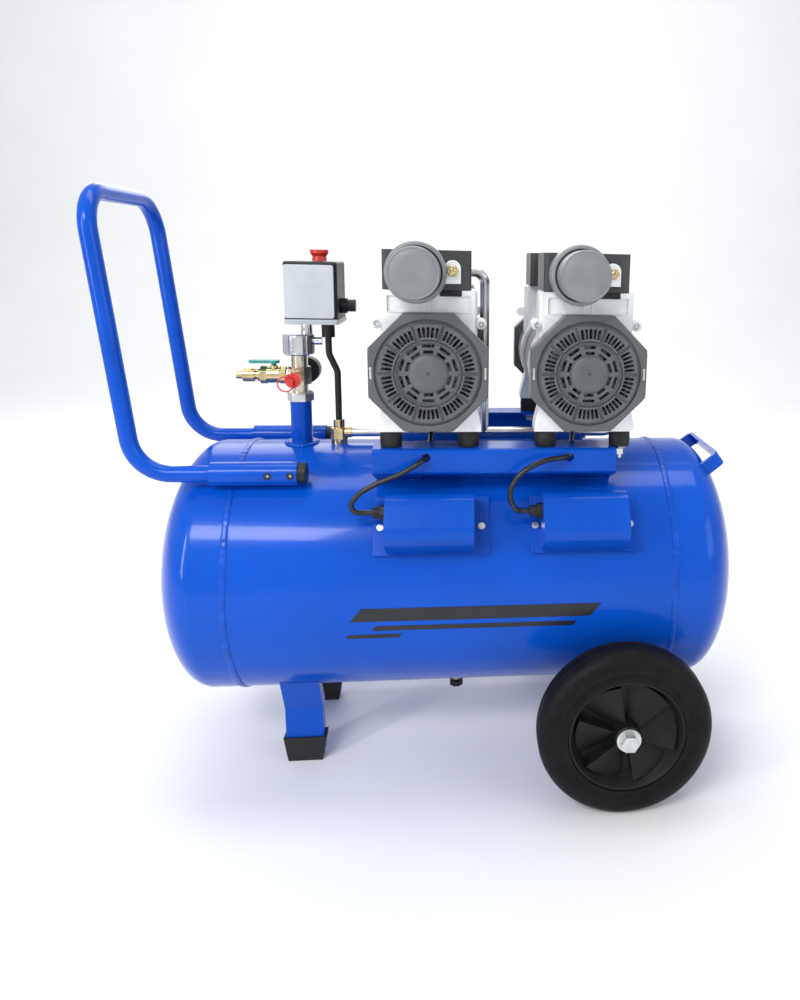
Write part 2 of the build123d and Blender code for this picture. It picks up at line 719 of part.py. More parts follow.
with BuildPart() as unloader_tube:
    tube_along(
        [
            (CHECK_X, 0, CHECK_TOP + 0.05),
            (CHECK_X, 0, 486),
            (UNLOADER_X, 0, 508),
            (UNLOADER_X, 0, SWITCH_Z0 - 18.05),
        ],
        [20, 20],
        4,
        2.5,
    )
save(unloader_tube, "unloader_tube")

PIPE_R = 6
PIPE_OUT = 65
PIPE_BENDS = (22, 14)
HEAD_PORT_Z = 612
HEAD_RIGHT = 46

with BuildPart() as delivery_pipe:
    right_x = PUMP_XS["right"]
    left_x = PUMP_XS["left"]
    tube_along(
        [
            (CHECK_X + 16.05, 0, PIPE_Z),
            (right_x + PIPE_OUT, 0, PIPE_Z),
            (right_x + PIPE_OUT, 0, HEAD_PORT_Z),
            (right_x + HEAD_RIGHT + 0.05, 0, HEAD_PORT_Z),
        ],
        PIPE_BENDS,
        PIPE_R,
    )
    tube_along(
        [
            (left_x + PIPE_OUT, 0, PIPE_Z),
            (left_x + PIPE_OUT, 0, HEAD_PORT_Z),
            (left_x + HEAD_RIGHT + 0.05, 0, HEAD_PORT_Z),
        ],
        PIPE_BENDS[-1:],
        PIPE_R,
    )
save(delivery_pipe, "delivery_pipe")

DRAIN_Z = TANK_BOTTOM - 12

with BuildPart() as drain_valve_body:
    bar(facing_up(TANK_X, 0, DRAIN_Z), 8, 16)
    hexagon(facing_up(TANK_X, 0, DRAIN_Z - 4), 17, 5)
    bar(facing_up(TANK_X, 0, DRAIN_Z - 12), 5.5, 9)
    bar(facing_up(TANK_X, 0, DRAIN_Z - 13), 3.05, 40, Mode.SUBTRACT)
    add(tank_envelope, mode=Mode.SUBTRACT)
save(drain_valve_body, "drain_valve_body")

with BuildPart() as drain_knob:
    bar(facing_up(TANK_X, 0, DRAIN_Z - 20), 3, 26)
    with BuildSketch(facing_up(TANK_X, 0, DRAIN_Z - 20)):
        Circle(9)
        with PolarLocations(9.5, 8):
            Circle(1.6, mode=Mode.SUBTRACT)
    extrude(amount=7)
save(drain_knob, "drain_knob")

# ---------------------------------------------------------------- capacitor housings

COVER_HALF = 31
COVER_DEPTH = 47
COVER_SHEET = 1.6
FLANGE_T = 2


def capacitor_cover(box_x0, box_x1, can_x0, can_x1):
    """A pressed cover: a D-shaped can on a flat flange that follows the tank."""
    def d_profile(x, inset):
        flat = cap_end_plane(x, 0)
        with BuildSketch(flat) as section:
            with BuildLine():
                half = COVER_HALF - inset
                top = COVER_DEPTH - inset
                shoulder = 20
                Line((-half, -10), (half, -10))
                Line((half, -10), (half, top - shoulder))
                TangentArc((half, top - shoulder), (half - shoulder, top), tangent=(0, 1))
                Line((half - shoulder, top), (-half + shoulder, top))
                TangentArc((-half, top - shoulder), (-half + shoulder, top), tangent=(0, 1))
                Line((-half, top - shoulder), (-half, -10))
            make_face()
        return section.sketch
    extrude(d_profile(can_x0, 0), amount=can_x1 - can_x0)
    flange = cap_plane(0.5, (box_x0 + box_x1) / 2)
    block(flange, box_x1 - box_x0, 2 * COVER_HALF + 6, FLANGE_T)
    inner = d_profile(can_x0 + COVER_SHEET, COVER_SHEET)
    extrude(inner, amount=can_x1 - can_x0 - 2 * COVER_SHEET, mode=Mode.SUBTRACT)
    bar(cap_end_plane(can_x0 - 1, CAN_DEPTH, GLAND_RISE), 5.1, 4, Mode.SUBTRACT)
    add(tank_envelope, mode=Mode.SUBTRACT)


for place, span in CAP_SPANS.items():
    with BuildPart() as cover:
        capacitor_cover(*span)
    save(cover, f"capacitor_cover_{place}")

with BuildPart() as capacitors:
    for _, _, can_x0, can_x1 in CAP_SPANS.values():
        bar(cap_end_plane(can_x0 + 12, 22), 20, can_x1 - can_x0 - 18)
save(capacitors, "capacitors")

with BuildPart() as small_screws:
    for side in SIDES.values():
        for x in SCREW_XS:
            bar(facing(side, x, HANDLE_Y + TUBE_R + 0.4, HANDLE_Z), 3.9, 2.5)
    for box_x0, box_x1, can_x0, can_x1 in CAP_SPANS.values():
        for x in ((box_x0 + can_x0) / 2, (box_x1 + can_x1) / 2):
            bar(cap_plane(0.5 + FLANGE_T + 0.05, x, -2), 4, 2.5)
save(small_screws, "small_screws")

LEAD_R = 3
LEADS = {
    "left": [
        (-15, -34, 447.9),
        (-15, -37, 428),
        (-16, -58, 412),
        (-18, -88, 405),
        (-19, -121, 406),
        (-24, -134, 404),
        (-46, -139, 391),
        (-72, -142, 382),
        (-91, -145, 372),
        (-101, -147, 360),
        (-98, -146.5, 350),
    ],
    "right": [
        (162, -34, 447.9),
        (161, -37, 428),
        (157, -58, 412),
        (149, -88, 405),
        (145, -121, 406),
        (137, -134, 408),
        (119, -138, 407),
        (100, -142, 401),
        (84, -145, 390),
        (75, -147, 375),
        (76, -147, 360),
        (83, -146, 350),
    ],
}

with BuildPart() as capacitor_leads:
    for place, route in LEADS.items():
        end = cap_end_plane(CAP_SPANS[place][2] - GLAND_LEN - 0.05, CAN_DEPTH, GLAND_RISE).origin
        points = [Vector(p) for p in route] + [end - Vector(11, 0, 0), end]
        runs = [(b - a).length for a, b in zip(points, points[1:])]
        radii = []
        for i in range(1, len(points) - 1):
            turn = math.radians((points[i] - points[i - 1]).get_angle(points[i + 1] - points[i]))
            radii.append(0.45 * min(runs[i - 1], runs[i]) / math.tan(turn / 2))
        print(place, "lead radii", [round(r, 1) for r in radii])
        tube_along(points, radii, LEAD_R)
save(capacitor_leads, "capacitor_leads")

# ---------------------------------------------------------------- pump mounts

MOUNT_POINTS = [
    (x + dx, side * MOUNT_Y)
    for x in PUMP_XS.values()
    for dx in (-MOUNT_X, MOUNT_X)
    for side in SIDES.values()
]
STUD_R = 4

with BuildPart() as rubber_mounts:
    for x, y in MOUNT_POINTS:
        ring(facing_up(x, y, SADDLE_TOP + 0.05), MOUNT_R, STUD_R + 0.05, MOUNT_H - 0.1)
save(rubber_mounts, "rubber_mounts")

with BuildPart() as mount_studs:
    for x, y in MOUNT_POINTS:
        bar(facing_up(x, y, SADDLE_TOP - 15), STUD_R, MOUNT_H + 27)
        hexagon(facing_up(x, y, SADDLE_TOP - SHEET - 7), 13, 6.95)
save(mount_studs, "mount_studs")

# ---------------------------------------------------------------- pumps

FOOT_Z = SADDLE_TOP + MOUNT_H
CHAMBER_R = 50
CASE_R = 56
SHAFT_R = 6
SHAFT_HALF = 137
ROTOR_R = 33
STATOR_R = 53.5
SHELL_R = 57
SHELL_LEN = 44
CAGE_R = 61
PIN_R = 15
BEARING_R = 14
PISTON_TOP = 585
SMALL_END_Z = 564


def crankcase(x, side):
    """One crankcase with its cylinder, feet and the cage that meets the motor."""
    def at(y, dz=0.0, dx=0.0):
        return facing(side, x + dx, y, PUMP_Z + dz)
    depth = BLOCK_FRONT - BLOCK_BACK
    block_h = BLOCK_TOP - PUMP_Z
    block(at(BLOCK_BACK, block_h / 2), 2 * BLOCK_HALF, block_h, depth)
    bar(at(BLOCK_BACK), CASE_R, depth)
    low = FOOT_Z - PUMP_Z + 0.05
    for foot in (-1, 1):
        with BuildSketch(at(92)) as leg:
            Polygon(
                (foot * 24, low),
                (foot * 58, low),
                (foot * 58, low + 8),
                (foot * 50, low + 40),
                (foot * 24, low + 40),
                align=None,
            )
        extrude(leg.sketch, amount=28)
    for rib_y in (72, 84, 96, 108):
        with BuildSketch(facing_up(x, side * rib_y, PUMP_Z + 12)) as rib:
            Rectangle(2 * BLOCK_HALF + 5, 4)
        extrude(rib.sketch, amount=BLOCK_TOP - PUMP_Z - 14)
    for dx in (-25, 25):
        with BuildSketch(at(BLOCK_FRONT - 1.5, 74, dx)) as panel:
            RectangleRounded(40, 18, 3)
        extrude(panel.sketch, amount=3, mode=Mode.SUBTRACT)
    bar(at(BLOCK_BACK + 6), CHAMBER_R, depth, Mode.SUBTRACT)
    bar(facing_up(x, side * CYL_Y, PUMP_Z + 20), CYL_R, 90, Mode.SUBTRACT)
    ring(at(48), CAGE_R, CAGE_R - 8, BLOCK_BACK - 48 + 2)
    ring(at(BLOCK_BACK - 1), CAGE_R, 20, 3)
    with BuildSketch(at(52)) as windows:
        with PolarLocations(CAGE_R, 12):
            Rectangle(30, 20)
    extrude(windows.sketch, amount=7, mode=Mode.SUBTRACT)
    bar(at(45), BEARING_R + 0.05, 40, Mode.SUBTRACT)
    for x_stud in (-MOUNT_X, MOUNT_X):
        bar(facing_up(x + x_stud, side * MOUNT_Y, FOOT_Z - 2), STUD_R + 0.05, 16, Mode.SUBTRACT)


def pump_head(x):
    """Front and rear cylinder heads with the duct that joins them."""
    gap = 0.05
    for side in SIDES.values():
        with BuildSketch(facing_up(x - 2, side * 84, BLOCK_TOP + gap)) as plan:
            RectangleRounded(97, 74, 5)
        extrude(plan.sketch, amount=HEAD_TOP - BLOCK_TOP - gap)
    with BuildSketch(facing_up(x, 0, BLOCK_TOP + 6)) as duct:
        Rectangle(70, 100)
    extrude(duct.sketch, amount=32)
    with BuildSketch(facing_up(x + 30, 0, HEAD_PORT_Z - 9)) as port:
        Rectangle(32, 22)
    extrude(port.sketch, amount=18)
    for side in SIDES.values():
        bar(facing_up(x, side * CYL_Y, BLOCK_TOP), CYL_R, 12, Mode.SUBTRACT)


FILTER_DX = -13
FILTER_Z = 613
FILTER_BODY_R = 33
FILTER_CAP_R = 27
HEAD_FRONT = 121


def intake_filter(x):
    """A round intake silencer on the front head with a slightly smaller cap."""
    def at(y):
        return facing(-1, x + FILTER_DX, y, FILTER_Z)
    bar(at(HEAD_FRONT + 0.05), FILTER_BODY_R, 24)
    bar(at(HEAD_FRONT + 24), FILTER_CAP_R, 38)


GUARD_FACE = 3
SKIRT_R = 60
SECTORS = 10
SLOT_AT = 45
SLOT_PITCH = 5.9
RING_SLOT_RADII = (23.5, 30.1)


def guard(x, side):
    """An octagonal fan guard with slotted rings and a skirt round the crankcase."""
    def at(y):
        return facing(side, x, y, PUMP_Z)
    clear = 0.3
    with BuildSketch(at(BLOCK_FRONT + clear)) as outline:
        RegularPolygon(GUARD_HALF, 8, major_radius=False, rotation=22.5)
        Circle(CHAMBER_R + 5, mode=Mode.SUBTRACT)
    extrude(outline.sketch, amount=PUMP_FRONT - BLOCK_FRONT - 7)
    with BuildSketch(at(PUMP_FRONT - 7)) as face:
        RegularPolygon(GUARD_HALF, 8, major_radius=False, rotation=22.5)
    extrude(face.sketch, amount=4)
    bar(at(PUMP_FRONT - 7), CASE_R, 7)
    with BuildSketch(at(PUMP_FRONT - 8)) as hollow:
        Circle(CHAMBER_R + 2)
    extrude(hollow.sketch, amount=8 - GUARD_FACE, mode=Mode.SUBTRACT)
    with BuildSketch(at(PUMP_FRONT - GUARD_FACE - 2)) as slots:
        for sector in range(SECTORS):
            middle = (sector + 0.5) * 360 / SECTORS
            for k in range(-2, 3):
                with Locations(Location((0, 0), middle + k * SLOT_PITCH)):
                    with Locations((SLOT_AT, 0)):
                        Rectangle(11, 2.6)
            for radius in RING_SLOT_RADII:
                with Locations(Location((0, 0), middle)):
                    with Locations((radius, 0)):
                        Rectangle(3.4, radius * 0.44)
    extrude(slots.sketch, amount=GUARD_FACE + 4, mode=Mode.SUBTRACT)
    with BuildSketch(at(BLOCK_BACK + 4)) as skirt:
        Circle(SKIRT_R)
        Circle(CASE_R + 0.3, mode=Mode.SUBTRACT)
        with Locations((0, 50)):
            Rectangle(2 * BLOCK_HALF + 8, 100, mode=Mode.SUBTRACT)
        for foot in (-1, 1):
            with Locations((foot * 44, -50)):
                Rectangle(44, 50, mode=Mode.SUBTRACT)
    extrude(skirt.sketch, amount=BLOCK_FRONT - BLOCK_BACK - 4 + clear + 0.2)


def motor(x):
    """The motor's round shell, its laminated stator and the two shaft bearings."""
    half = SHELL_LEN + 3.9
    ring(facing_front(x, half, PUMP_Z), SHELL_R, STATOR_R + 0.05, 2 * half)
    for side in SIDES.values():
        ring(facing(side, x, BLOCK_BACK, PUMP_Z), BEARING_R, SHAFT_R + 0.05, 6)
    with BuildSketch(facing_front(x, 28, PUMP_Z)) as stack:
        Circle(STATOR_R)
        Circle(ROTOR_R + 0.6, mode=Mode.SUBTRACT)
        with PolarLocations(41, 24):
            Rectangle(8, 3, mode=Mode.SUBTRACT)
    extrude(stack.sketch, amount=56)


FAN_R = 47
FAN_BLADES = 9
FAN_Y0 = 123
FAN_Y1 = 134


def rotor(x):
    """Shaft, rotor core, two opposed crank pins and two cooling fans."""
    bar(facing_front(x, SHAFT_HALF, PUMP_Z), SHAFT_R, 2 * SHAFT_HALF)
    bar(facing_front(x, 28, PUMP_Z), ROTOR_R, 56)
    for side in SIDES.values():
        pin_x = x - side * CRANK_THROW
        bar(facing(side, pin_x, CYL_Y - 6, PUMP_Z), PIN_R, 12)
        fan = facing(side, x, FAN_Y0, PUMP_Z)
        bar(fan, 13, FAN_Y1 - FAN_Y0)
        with BuildSketch(fan) as blades:
            with PolarLocations(29, FAN_BLADES):
                Rectangle(2 * (FAN_R - 29), 2.4, rotation=18)
        extrude(blades.sketch, amount=FAN_Y1 - FAN_Y0 - 2)
        ring(fan, FAN_R + 1, FAN_R - 1, 3)


def connecting_rod(x, side):
    """A connecting rod whose big end runs on the crank pin."""
    pin_x = x - side * CRANK_THROW
    rise = SMALL_END_Z - PUMP_Z
    with BuildSketch(facing(side, pin_x, CYL_Y - 5, PUMP_Z)) as outline:
        Circle(PIN_R + 6)
        with Locations((0, rise / 2)):
            Rectangle(12, rise)
        with Locations((0, rise)):
            Circle(8)
        Circle(PIN_R + 0.05, mode=Mode.SUBTRACT)
        with Locations((0, rise)):
            Circle(3, mode=Mode.SUBTRACT)
    extrude(outline.sketch, amount=10)


with BuildPart() as pistons:
    for x in PUMP_XS.values():
        for side in SIDES.values():
            bar(facing_up(x, side * CYL_Y, PISTON_TOP - 26), CYL_R - 0.05, 26)
            bar(facing_up(x, side * CYL_Y, PISTON_TOP - 27), 18, 22, Mode.SUBTRACT)
save(pistons, "pistons")

for place, x in PUMP_XS.items():
    with BuildPart() as crankcases:
        for side in SIDES.values():
            crankcase(x, side)
    save(crankcases, f"pump_{place}_crankcases")
    with BuildPart() as heads:
        pump_head(x)
    save(heads, f"pump_{place}_heads")
    with BuildPart() as guards:
        for side in SIDES.values():
            guard(x, side)
    save(guards, f"pump_{place}_guards")
    with BuildPart() as motor_stator:
        motor(x)
    save(motor_stator, f"pump_{place}_motor")
    with BuildPart() as pump_rotor:
        rotor(x)
    save(pump_rotor, f"pump_{place}_rotor")
    for end, side in SIDES.items():
        with BuildPart() as rod:
            connecting_rod(x, side)
        save(rod, f"pump_{place}_rod_{end}")

with BuildPart() as intake_filters:
    for x in PUMP_XS.values():
        intake_filter(x)
save(intake_filters, "intake_filters")
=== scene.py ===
import math
import random

import bmesh
import bpy
from mathutils import Matrix, Vector


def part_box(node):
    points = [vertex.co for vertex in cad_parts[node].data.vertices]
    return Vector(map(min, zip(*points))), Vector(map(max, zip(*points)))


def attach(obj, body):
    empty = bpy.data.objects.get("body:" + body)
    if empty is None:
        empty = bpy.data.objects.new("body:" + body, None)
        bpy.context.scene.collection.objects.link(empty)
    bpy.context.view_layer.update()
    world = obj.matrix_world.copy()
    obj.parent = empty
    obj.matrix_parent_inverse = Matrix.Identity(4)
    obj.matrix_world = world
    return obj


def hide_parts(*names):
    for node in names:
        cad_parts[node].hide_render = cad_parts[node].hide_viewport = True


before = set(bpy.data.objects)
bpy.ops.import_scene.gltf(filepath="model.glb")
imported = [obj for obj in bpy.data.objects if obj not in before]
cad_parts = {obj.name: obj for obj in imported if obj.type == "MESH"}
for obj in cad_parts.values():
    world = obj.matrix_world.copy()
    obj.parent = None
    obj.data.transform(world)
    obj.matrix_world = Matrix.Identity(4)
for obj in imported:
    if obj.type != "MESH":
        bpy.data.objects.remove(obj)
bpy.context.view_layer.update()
SIDES = {"front": -1, "rear": 1}
HANDS = {"left": -1, "right": 1}
random.seed(7)

# ---------------------------------------------------------------- places taken from the frame


def centre_of(node):
    low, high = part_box(node)
    return (low + high) / 2


shell_low, shell_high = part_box("tank_shell")
TANK_X = (shell_low.x + shell_high.x) / 2
TANK_Z = (shell_low.z + shell_high.z) / 2
TANK_R = (shell_high.z - shell_low.z) / 2
PUMPS = {place: centre_of(f"pump_{place}_guards") for place in ("left", "right")}
GUARD_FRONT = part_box("pump_left_guards")[1].y
WHEELS = {place: centre_of(f"wheel_{place}_tyre") for place in SIDES}

# ---------------------------------------------------------------- materials


def new_material(name):
    made = bpy.data.materials.new(name)
    made.use_nodes = True
    tree = made.node_tree
    return made, tree, tree.nodes["Principled BSDF"]


def noise(tree, scale, detail=3.0):
    """Noise over the object's own coordinates, in metres."""
    coords = tree.nodes.new("ShaderNodeTexCoord")
    made = tree.nodes.new("ShaderNodeTexNoise")
    made.inputs["Scale"].default_value = scale
    made.inputs["Detail"].default_value = detail
    tree.links.new(coords.outputs["Object"], made.inputs["Vector"])
    return made


def ramp(tree, factor, low, high, start=0.35, end=0.65):
    made = tree.nodes.new("ShaderNodeValToRGB")
    made.color_ramp.elements[0].position = start
    made.color_ramp.elements[0].color = (*low, 1)
    made.color_ramp.elements[1].position = end
    made.color_ramp.elements[1].color = (*high, 1)
    tree.links.new(factor, made.inputs["Fac"])
    return made


def surface(name, colour, rough, metallic=0.0, coat=0.0, spread=0.12, scale=60.0,
            bump=0.1, bump_scale=400.0, edge=0.0008, rough_spread=0.08, specular=0.5):
    """A finish with mottled colour, uneven gloss, fine relief and eased edges."""
    made, tree, shader = new_material(name)
    dark = tuple(c * (1 - spread) for c in colour)
    light = tuple(min(1.0, c * (1 + spread)) for c in colour)
    mottle = noise(tree, scale, 4.0)
    tint = ramp(tree, mottle.outputs["Fac"], dark, light)
    tree.links.new(tint.outputs["Color"], shader.inputs["Base Color"])
    shader.inputs["Metallic"].default_value = metallic
    shader.inputs["Coat Weight"].default_value = coat
    shader.inputs["Coat Roughness"].default_value = 0.06
    shader.inputs["Specular IOR Level"].default_value = specular
    gloss = tree.nodes.new("ShaderNodeMapRange")
    gloss.inputs["To Min"].default_value = max(0.02, rough - rough_spread)
    gloss.inputs["To Max"].default_value = min(1.0, rough + rough_spread)
    patches = noise(tree, scale * 0.4, 2.0)
    tree.links.new(patches.outputs["Fac"], gloss.inputs["Value"])
    tree.links.new(gloss.outputs["Result"], shader.inputs["Roughness"])
    eased = tree.nodes.new("ShaderNodeBevel")
    eased.samples = 4
    eased.inputs["Radius"].default_value = edge
    grain = noise(tree, bump_scale, 3.0)
    relief = tree.nodes.new("ShaderNodeBump")
    relief.inputs["Strength"].default_value = bump
    relief.inputs["Distance"].default_value = 0.0006
    tree.links.new(grain.outputs["Fac"], relief.inputs["Height"])
    tree.links.new(eased.outputs["Normal"], relief.inputs["Normal"])
    tree.links.new(relief.outputs["Normal"], shader.inputs["Normal"])
    return made


BLUE = surface("tank_blue", (0.0012, 0.072, 0.48), 0.20, coat=0.15, spread=0.06, scale=9,
               bump=0.05, bump_scale=160, edge=0.0010, rough_spread=0.05, specular=0.15)
BLUE_RAIL = surface("rail_blue", (0.0012, 0.068, 0.46), 0.24, coat=0.15, spread=0.07, scale=16,
                    bump=0.06, bump_scale=200, edge=0.0012, rough_spread=0.06, specular=0.15)
WELD = surface("weld_blue", (0.0012, 0.068, 0.46), 0.28, coat=0.15, spread=0.15, scale=120,
               bump=0.5, bump_scale=220, edge=0.0008, specular=0.2)
ZINC = surface("zinc_plate", (0.66, 0.67, 0.66), 0.30, metallic=1.0, spread=0.12, scale=120,
               bump=0.08, bump_scale=700, edge=0.0004)
CHROME = surface("chrome_plate", (0.80, 0.80, 0.81), 0.10, metallic=1.0, spread=0.06, scale=60,
                 bump=0.03, bump_scale=500, edge=0.0006, rough_spread=0.04)
BRASS = surface("brass", (0.70, 0.56, 0.30), 0.24, metallic=1.0, spread=0.16, scale=90,
                bump=0.10, bump_scale=600, edge=0.0005)
NICKEL = surface("nickel_brass", (0.72, 0.66, 0.54), 0.20, metallic=1.0, spread=0.16, scale=70,
                 bump=0.08, bump_scale=500, edge=0.0005)
CAST = surface("cast_aluminium", (0.86, 0.88, 0.89), 0.42, metallic=0.35, spread=0.07, scale=70,
               bump=0.45, bump_scale=1100, edge=0.0014, rough_spread=0.08)
PIPE = surface("pipe_aluminium", (0.70, 0.71, 0.72), 0.26, metallic=1.0, spread=0.10, scale=50,
               bump=0.06, bump_scale=500, edge=0.0006)
HEAD = surface("head_grey", (0.052, 0.054, 0.056), 0.40, spread=0.12, scale=70,
               bump=0.30, bump_scale=1400, edge=0.0022, specular=0.35)
GUARD = surface("guard_grey", (0.098, 0.104, 0.110), 0.36, spread=0.07, scale=60,
                bump=0.22, bump_scale=1800, edge=0.0010, specular=0.4)
FAN = surface("fan_black", (0.010, 0.010, 0.011), 0.45, spread=0.20, scale=90,
              bump=0.15, bump_scale=900, edge=0.0005, specular=0.25)
FILTER = surface("filter_grey", (0.20, 0.212, 0.222), 0.36, spread=0.07, scale=50,
                 bump=0.22, bump_scale=1600, edge=0.0012)
BLACK = surface("black_plastic", (0.014, 0.015, 0.016), 0.40, spread=0.25, scale=80,
                bump=0.25, bump_scale=1500, edge=0.0008, specular=0.3)
HUB = surface("hub_black", (0.008, 0.0085, 0.009), 0.40, spread=0.25, scale=50,
              bump=0.30, bump_scale=1300, edge=0.0008, specular=0.22)
SWITCH = surface("switch_grey", (0.50, 0.53, 0.56), 0.30, spread=0.05, scale=40,
                 bump=0.18, bump_scale=1300, edge=0.0010)
RED = surface("red_plastic", (0.62, 0.035, 0.025), 0.30, spread=0.12, scale=90,
              bump=0.10, bump_scale=900, edge=0.0006)
TEAL = surface("teal_grip", (0.030, 0.27, 0.25), 0.40, spread=0.15, scale=120,
               bump=0.20, bump_scale=900, edge=0.0006)
RUBBER = surface("black_rubber", (0.016, 0.016, 0.017), 0.55, spread=0.20, scale=120,
                 bump=0.30, bump_scale=1200, edge=0.0008, specular=0.3)
TYRE = surface("tyre_rubber", (0.005, 0.005, 0.0055), 0.50, spread=0.35, scale=45,
               bump=0.30, bump_scale=900, edge=0.0010, rough_spread=0.10, specular=0.14)
SHEATH = surface("lead_sheath", (0.010, 0.010, 0.011), 0.30, spread=0.20, scale=200,
                 bump=0.12, bump_scale=700, edge=0.0004)
STEEL = surface("machined_steel", (0.50, 0.50, 0.51), 0.30, metallic=1.0, spread=0.12, scale=90,
                bump=0.12, bump_scale=800, edge=0.0005)
MOTOR = surface("motor_shell", (0.085, 0.074, 0.066), 0.36, metallic=0.4, spread=0.16, scale=50,
                bump=0.12, bump_scale=700, edge=0.0008)
INK = surface("printed_black", (0.008, 0.009, 0.012), 0.34, spread=0.15, scale=60,
              bump=0.05, bump_scale=900, edge=0.0003)
DIAL = surface("dial_white", (0.78, 0.78, 0.76), 0.40, spread=0.03, scale=90,
               bump=0.05, bump_scale=900, edge=0.0003)
FILM = surface("capacitor_film", (0.70, 0.70, 0.67), 0.35, spread=0.05, scale=60,
               bump=0.08, bump_scale=700, edge=0.0006)


def clear_glass():
    made, tree, shader = new_material("gauge_glass")
    shader.inputs["Base Color"].default_value = (0.95, 0.97, 0.98, 1)
    shader.inputs["Transmission Weight"].default_value = 1.0
    shader.inputs["IOR"].default_value = 1.46
    smudge = noise(tree, 90, 3.0)
    film = tree.nodes.new("ShaderNodeMapRange")
    film.inputs["To Min"].default_value = 0.02
    film.inputs["To Max"].default_value = 0.12
    tree.links.new(smudge.outputs["Fac"], film.inputs["Value"])
    tree.links.new(film.outputs["Result"], shader.inputs["Roughness"])
    return made


GLASS = clear_glass()

NODE_FINISH = {
    "tank_shell": BLUE, "tank_ends": BLUE, "tank_plug": ZINC, "saddle_front": BLUE_RAIL,
    "saddle_rear": BLUE_RAIL, "legs": BLUE_RAIL, "rubber_feet": RUBBER, "axle_brackets": BLUE_RAIL,
    "axle_bolts": ZINC, "lift_handle": BLUE_RAIL, "handle_sleeves": BLUE_RAIL, "sleeve_caps": BLACK,
    "small_screws": ZINC, "riser_pipe": BLUE_RAIL, "manifold": NICKEL, "diaphragm_housing": CHROME,
    "switch_base": SWITCH, "switch_cover": BLACK, "cable_glands": BLACK, "ball_valve_body": BRASS,
    "coupler_body": BRASS, "safety_valve_body": BRASS, "gauge_case": BLACK, "check_valve": BRASS,
    "unloader_tube": BLACK, "delivery_pipe": PIPE, "drain_valve_body": BRASS,
    "capacitor_cover_left": BLUE_RAIL, "capacitor_cover_right": BLUE_RAIL, "capacitors": FILM,
    "capacitor_leads": SHEATH, "rubber_mounts": RUBBER, "mount_studs": ZINC, "pistons": STEEL,
    "intake_filters": FILTER, "wheel_front_tyre": TYRE, "wheel_front_hub": HUB,
    "wheel_rear_tyre": TYRE, "wheel_rear_hub": HUB, "pull_handle": BLUE_RAIL, "switch_knob": RED,
    "valve_lever": TEAL, "coupler_collar": BRASS, "safety_valve_ring": RED, "gauge_needle": RED,
    "drain_knob": BLACK,
}
for place in PUMPS:
    NODE_FINISH[f"pump_{place}_crankcases"] = CAST
    NODE_FINISH[f"pump_{place}_heads"] = HEAD
    NODE_FINISH[f"pump_{place}_guards"] = GUARD
    NODE_FINISH[f"pump_{place}_motor"] = MOTOR
    NODE_FINISH[f"pump_{place}_rotor"] = FAN
    for part in ("rod_front", "rod_rear"):
        NODE_FINISH[f"pump_{place}_{part}"] = STEEL

for name, finish in NODE_FINISH.items():
    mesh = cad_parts[name].data
    mesh.materials.clear()
    mesh.materials.append(finish)

# ---------------------------------------------------------------- making pieces

SHARP_ANGLE = math.radians(35)


def finish_piece(made, finish, body):
    made.data.materials.clear()
    made.data.materials.append(finish)
    made.data.shade_smooth()
    made.data.set_sharp_from_angle(angle=SHARP_ANGLE)
    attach(made, body)
    return made


def mesh_piece(name, verts, faces, finish, body):
    mesh = bpy.data.meshes.new(name)
    mesh.from_pydata([tuple(v) for v in verts], [], faces)
    mesh.validate()
    mesh.update()
    made = bpy.data.objects.new(name, mesh)
    bpy.context.scene.collection.objects.link(made)
    return finish_piece(made, finish, body)


def basis(normal):
    """Two directions across a normal: the first is level where it can be."""
    n = Vector(normal).normalized()
    helper = Vector((0, 0, 1)) if abs(n.z) < 0.9 else Vector((0, 1, 0))
    across = helper.cross(n).normalized()
    return n, across, n.cross(across)


def lathe(name, centre, axis, profile, finish, body, segments=64):
    """A turned piece: profile is (distance along the axis, radius) from one end to the other."""
    n, a, b = basis(axis)
    verts = []
    faces = []
    for along, radius in profile:
        for i in range(segments):
            t = 2 * math.pi * i / segments
            verts.append(Vector(centre) + n * along + (a * math.cos(t) + b * math.sin(t)) * radius)
    rows = len(profile)
    for j in range(rows - 1):
        for i in range(segments):
            k = (i + 1) % segments
            low, high = j * segments, (j + 1) * segments
            faces.append((low + i, low + k, high + k, high + i))
    if profile[0][1] > 0 and profile[0] != profile[-1]:
        faces.append(tuple(reversed(range(segments))))
        faces.append(tuple(range((rows - 1) * segments, rows * segments)))
    made = mesh_piece(name, verts, faces, finish, body)
    clean(made)
    return made


def clean(made):
    """Merge doubled points and make every face look outward."""
    work = bmesh.new()
    work.from_mesh(made.data)
    bmesh.ops.remove_doubles(work, verts=work.verts, dist=1e-6)
    bmesh.ops.recalc_face_normals(work, faces=work.faces)
    work.to_mesh(made.data)
    work.free()
    made.data.shade_smooth()
    made.data.set_sharp_from_angle(angle=SHARP_ANGLE)


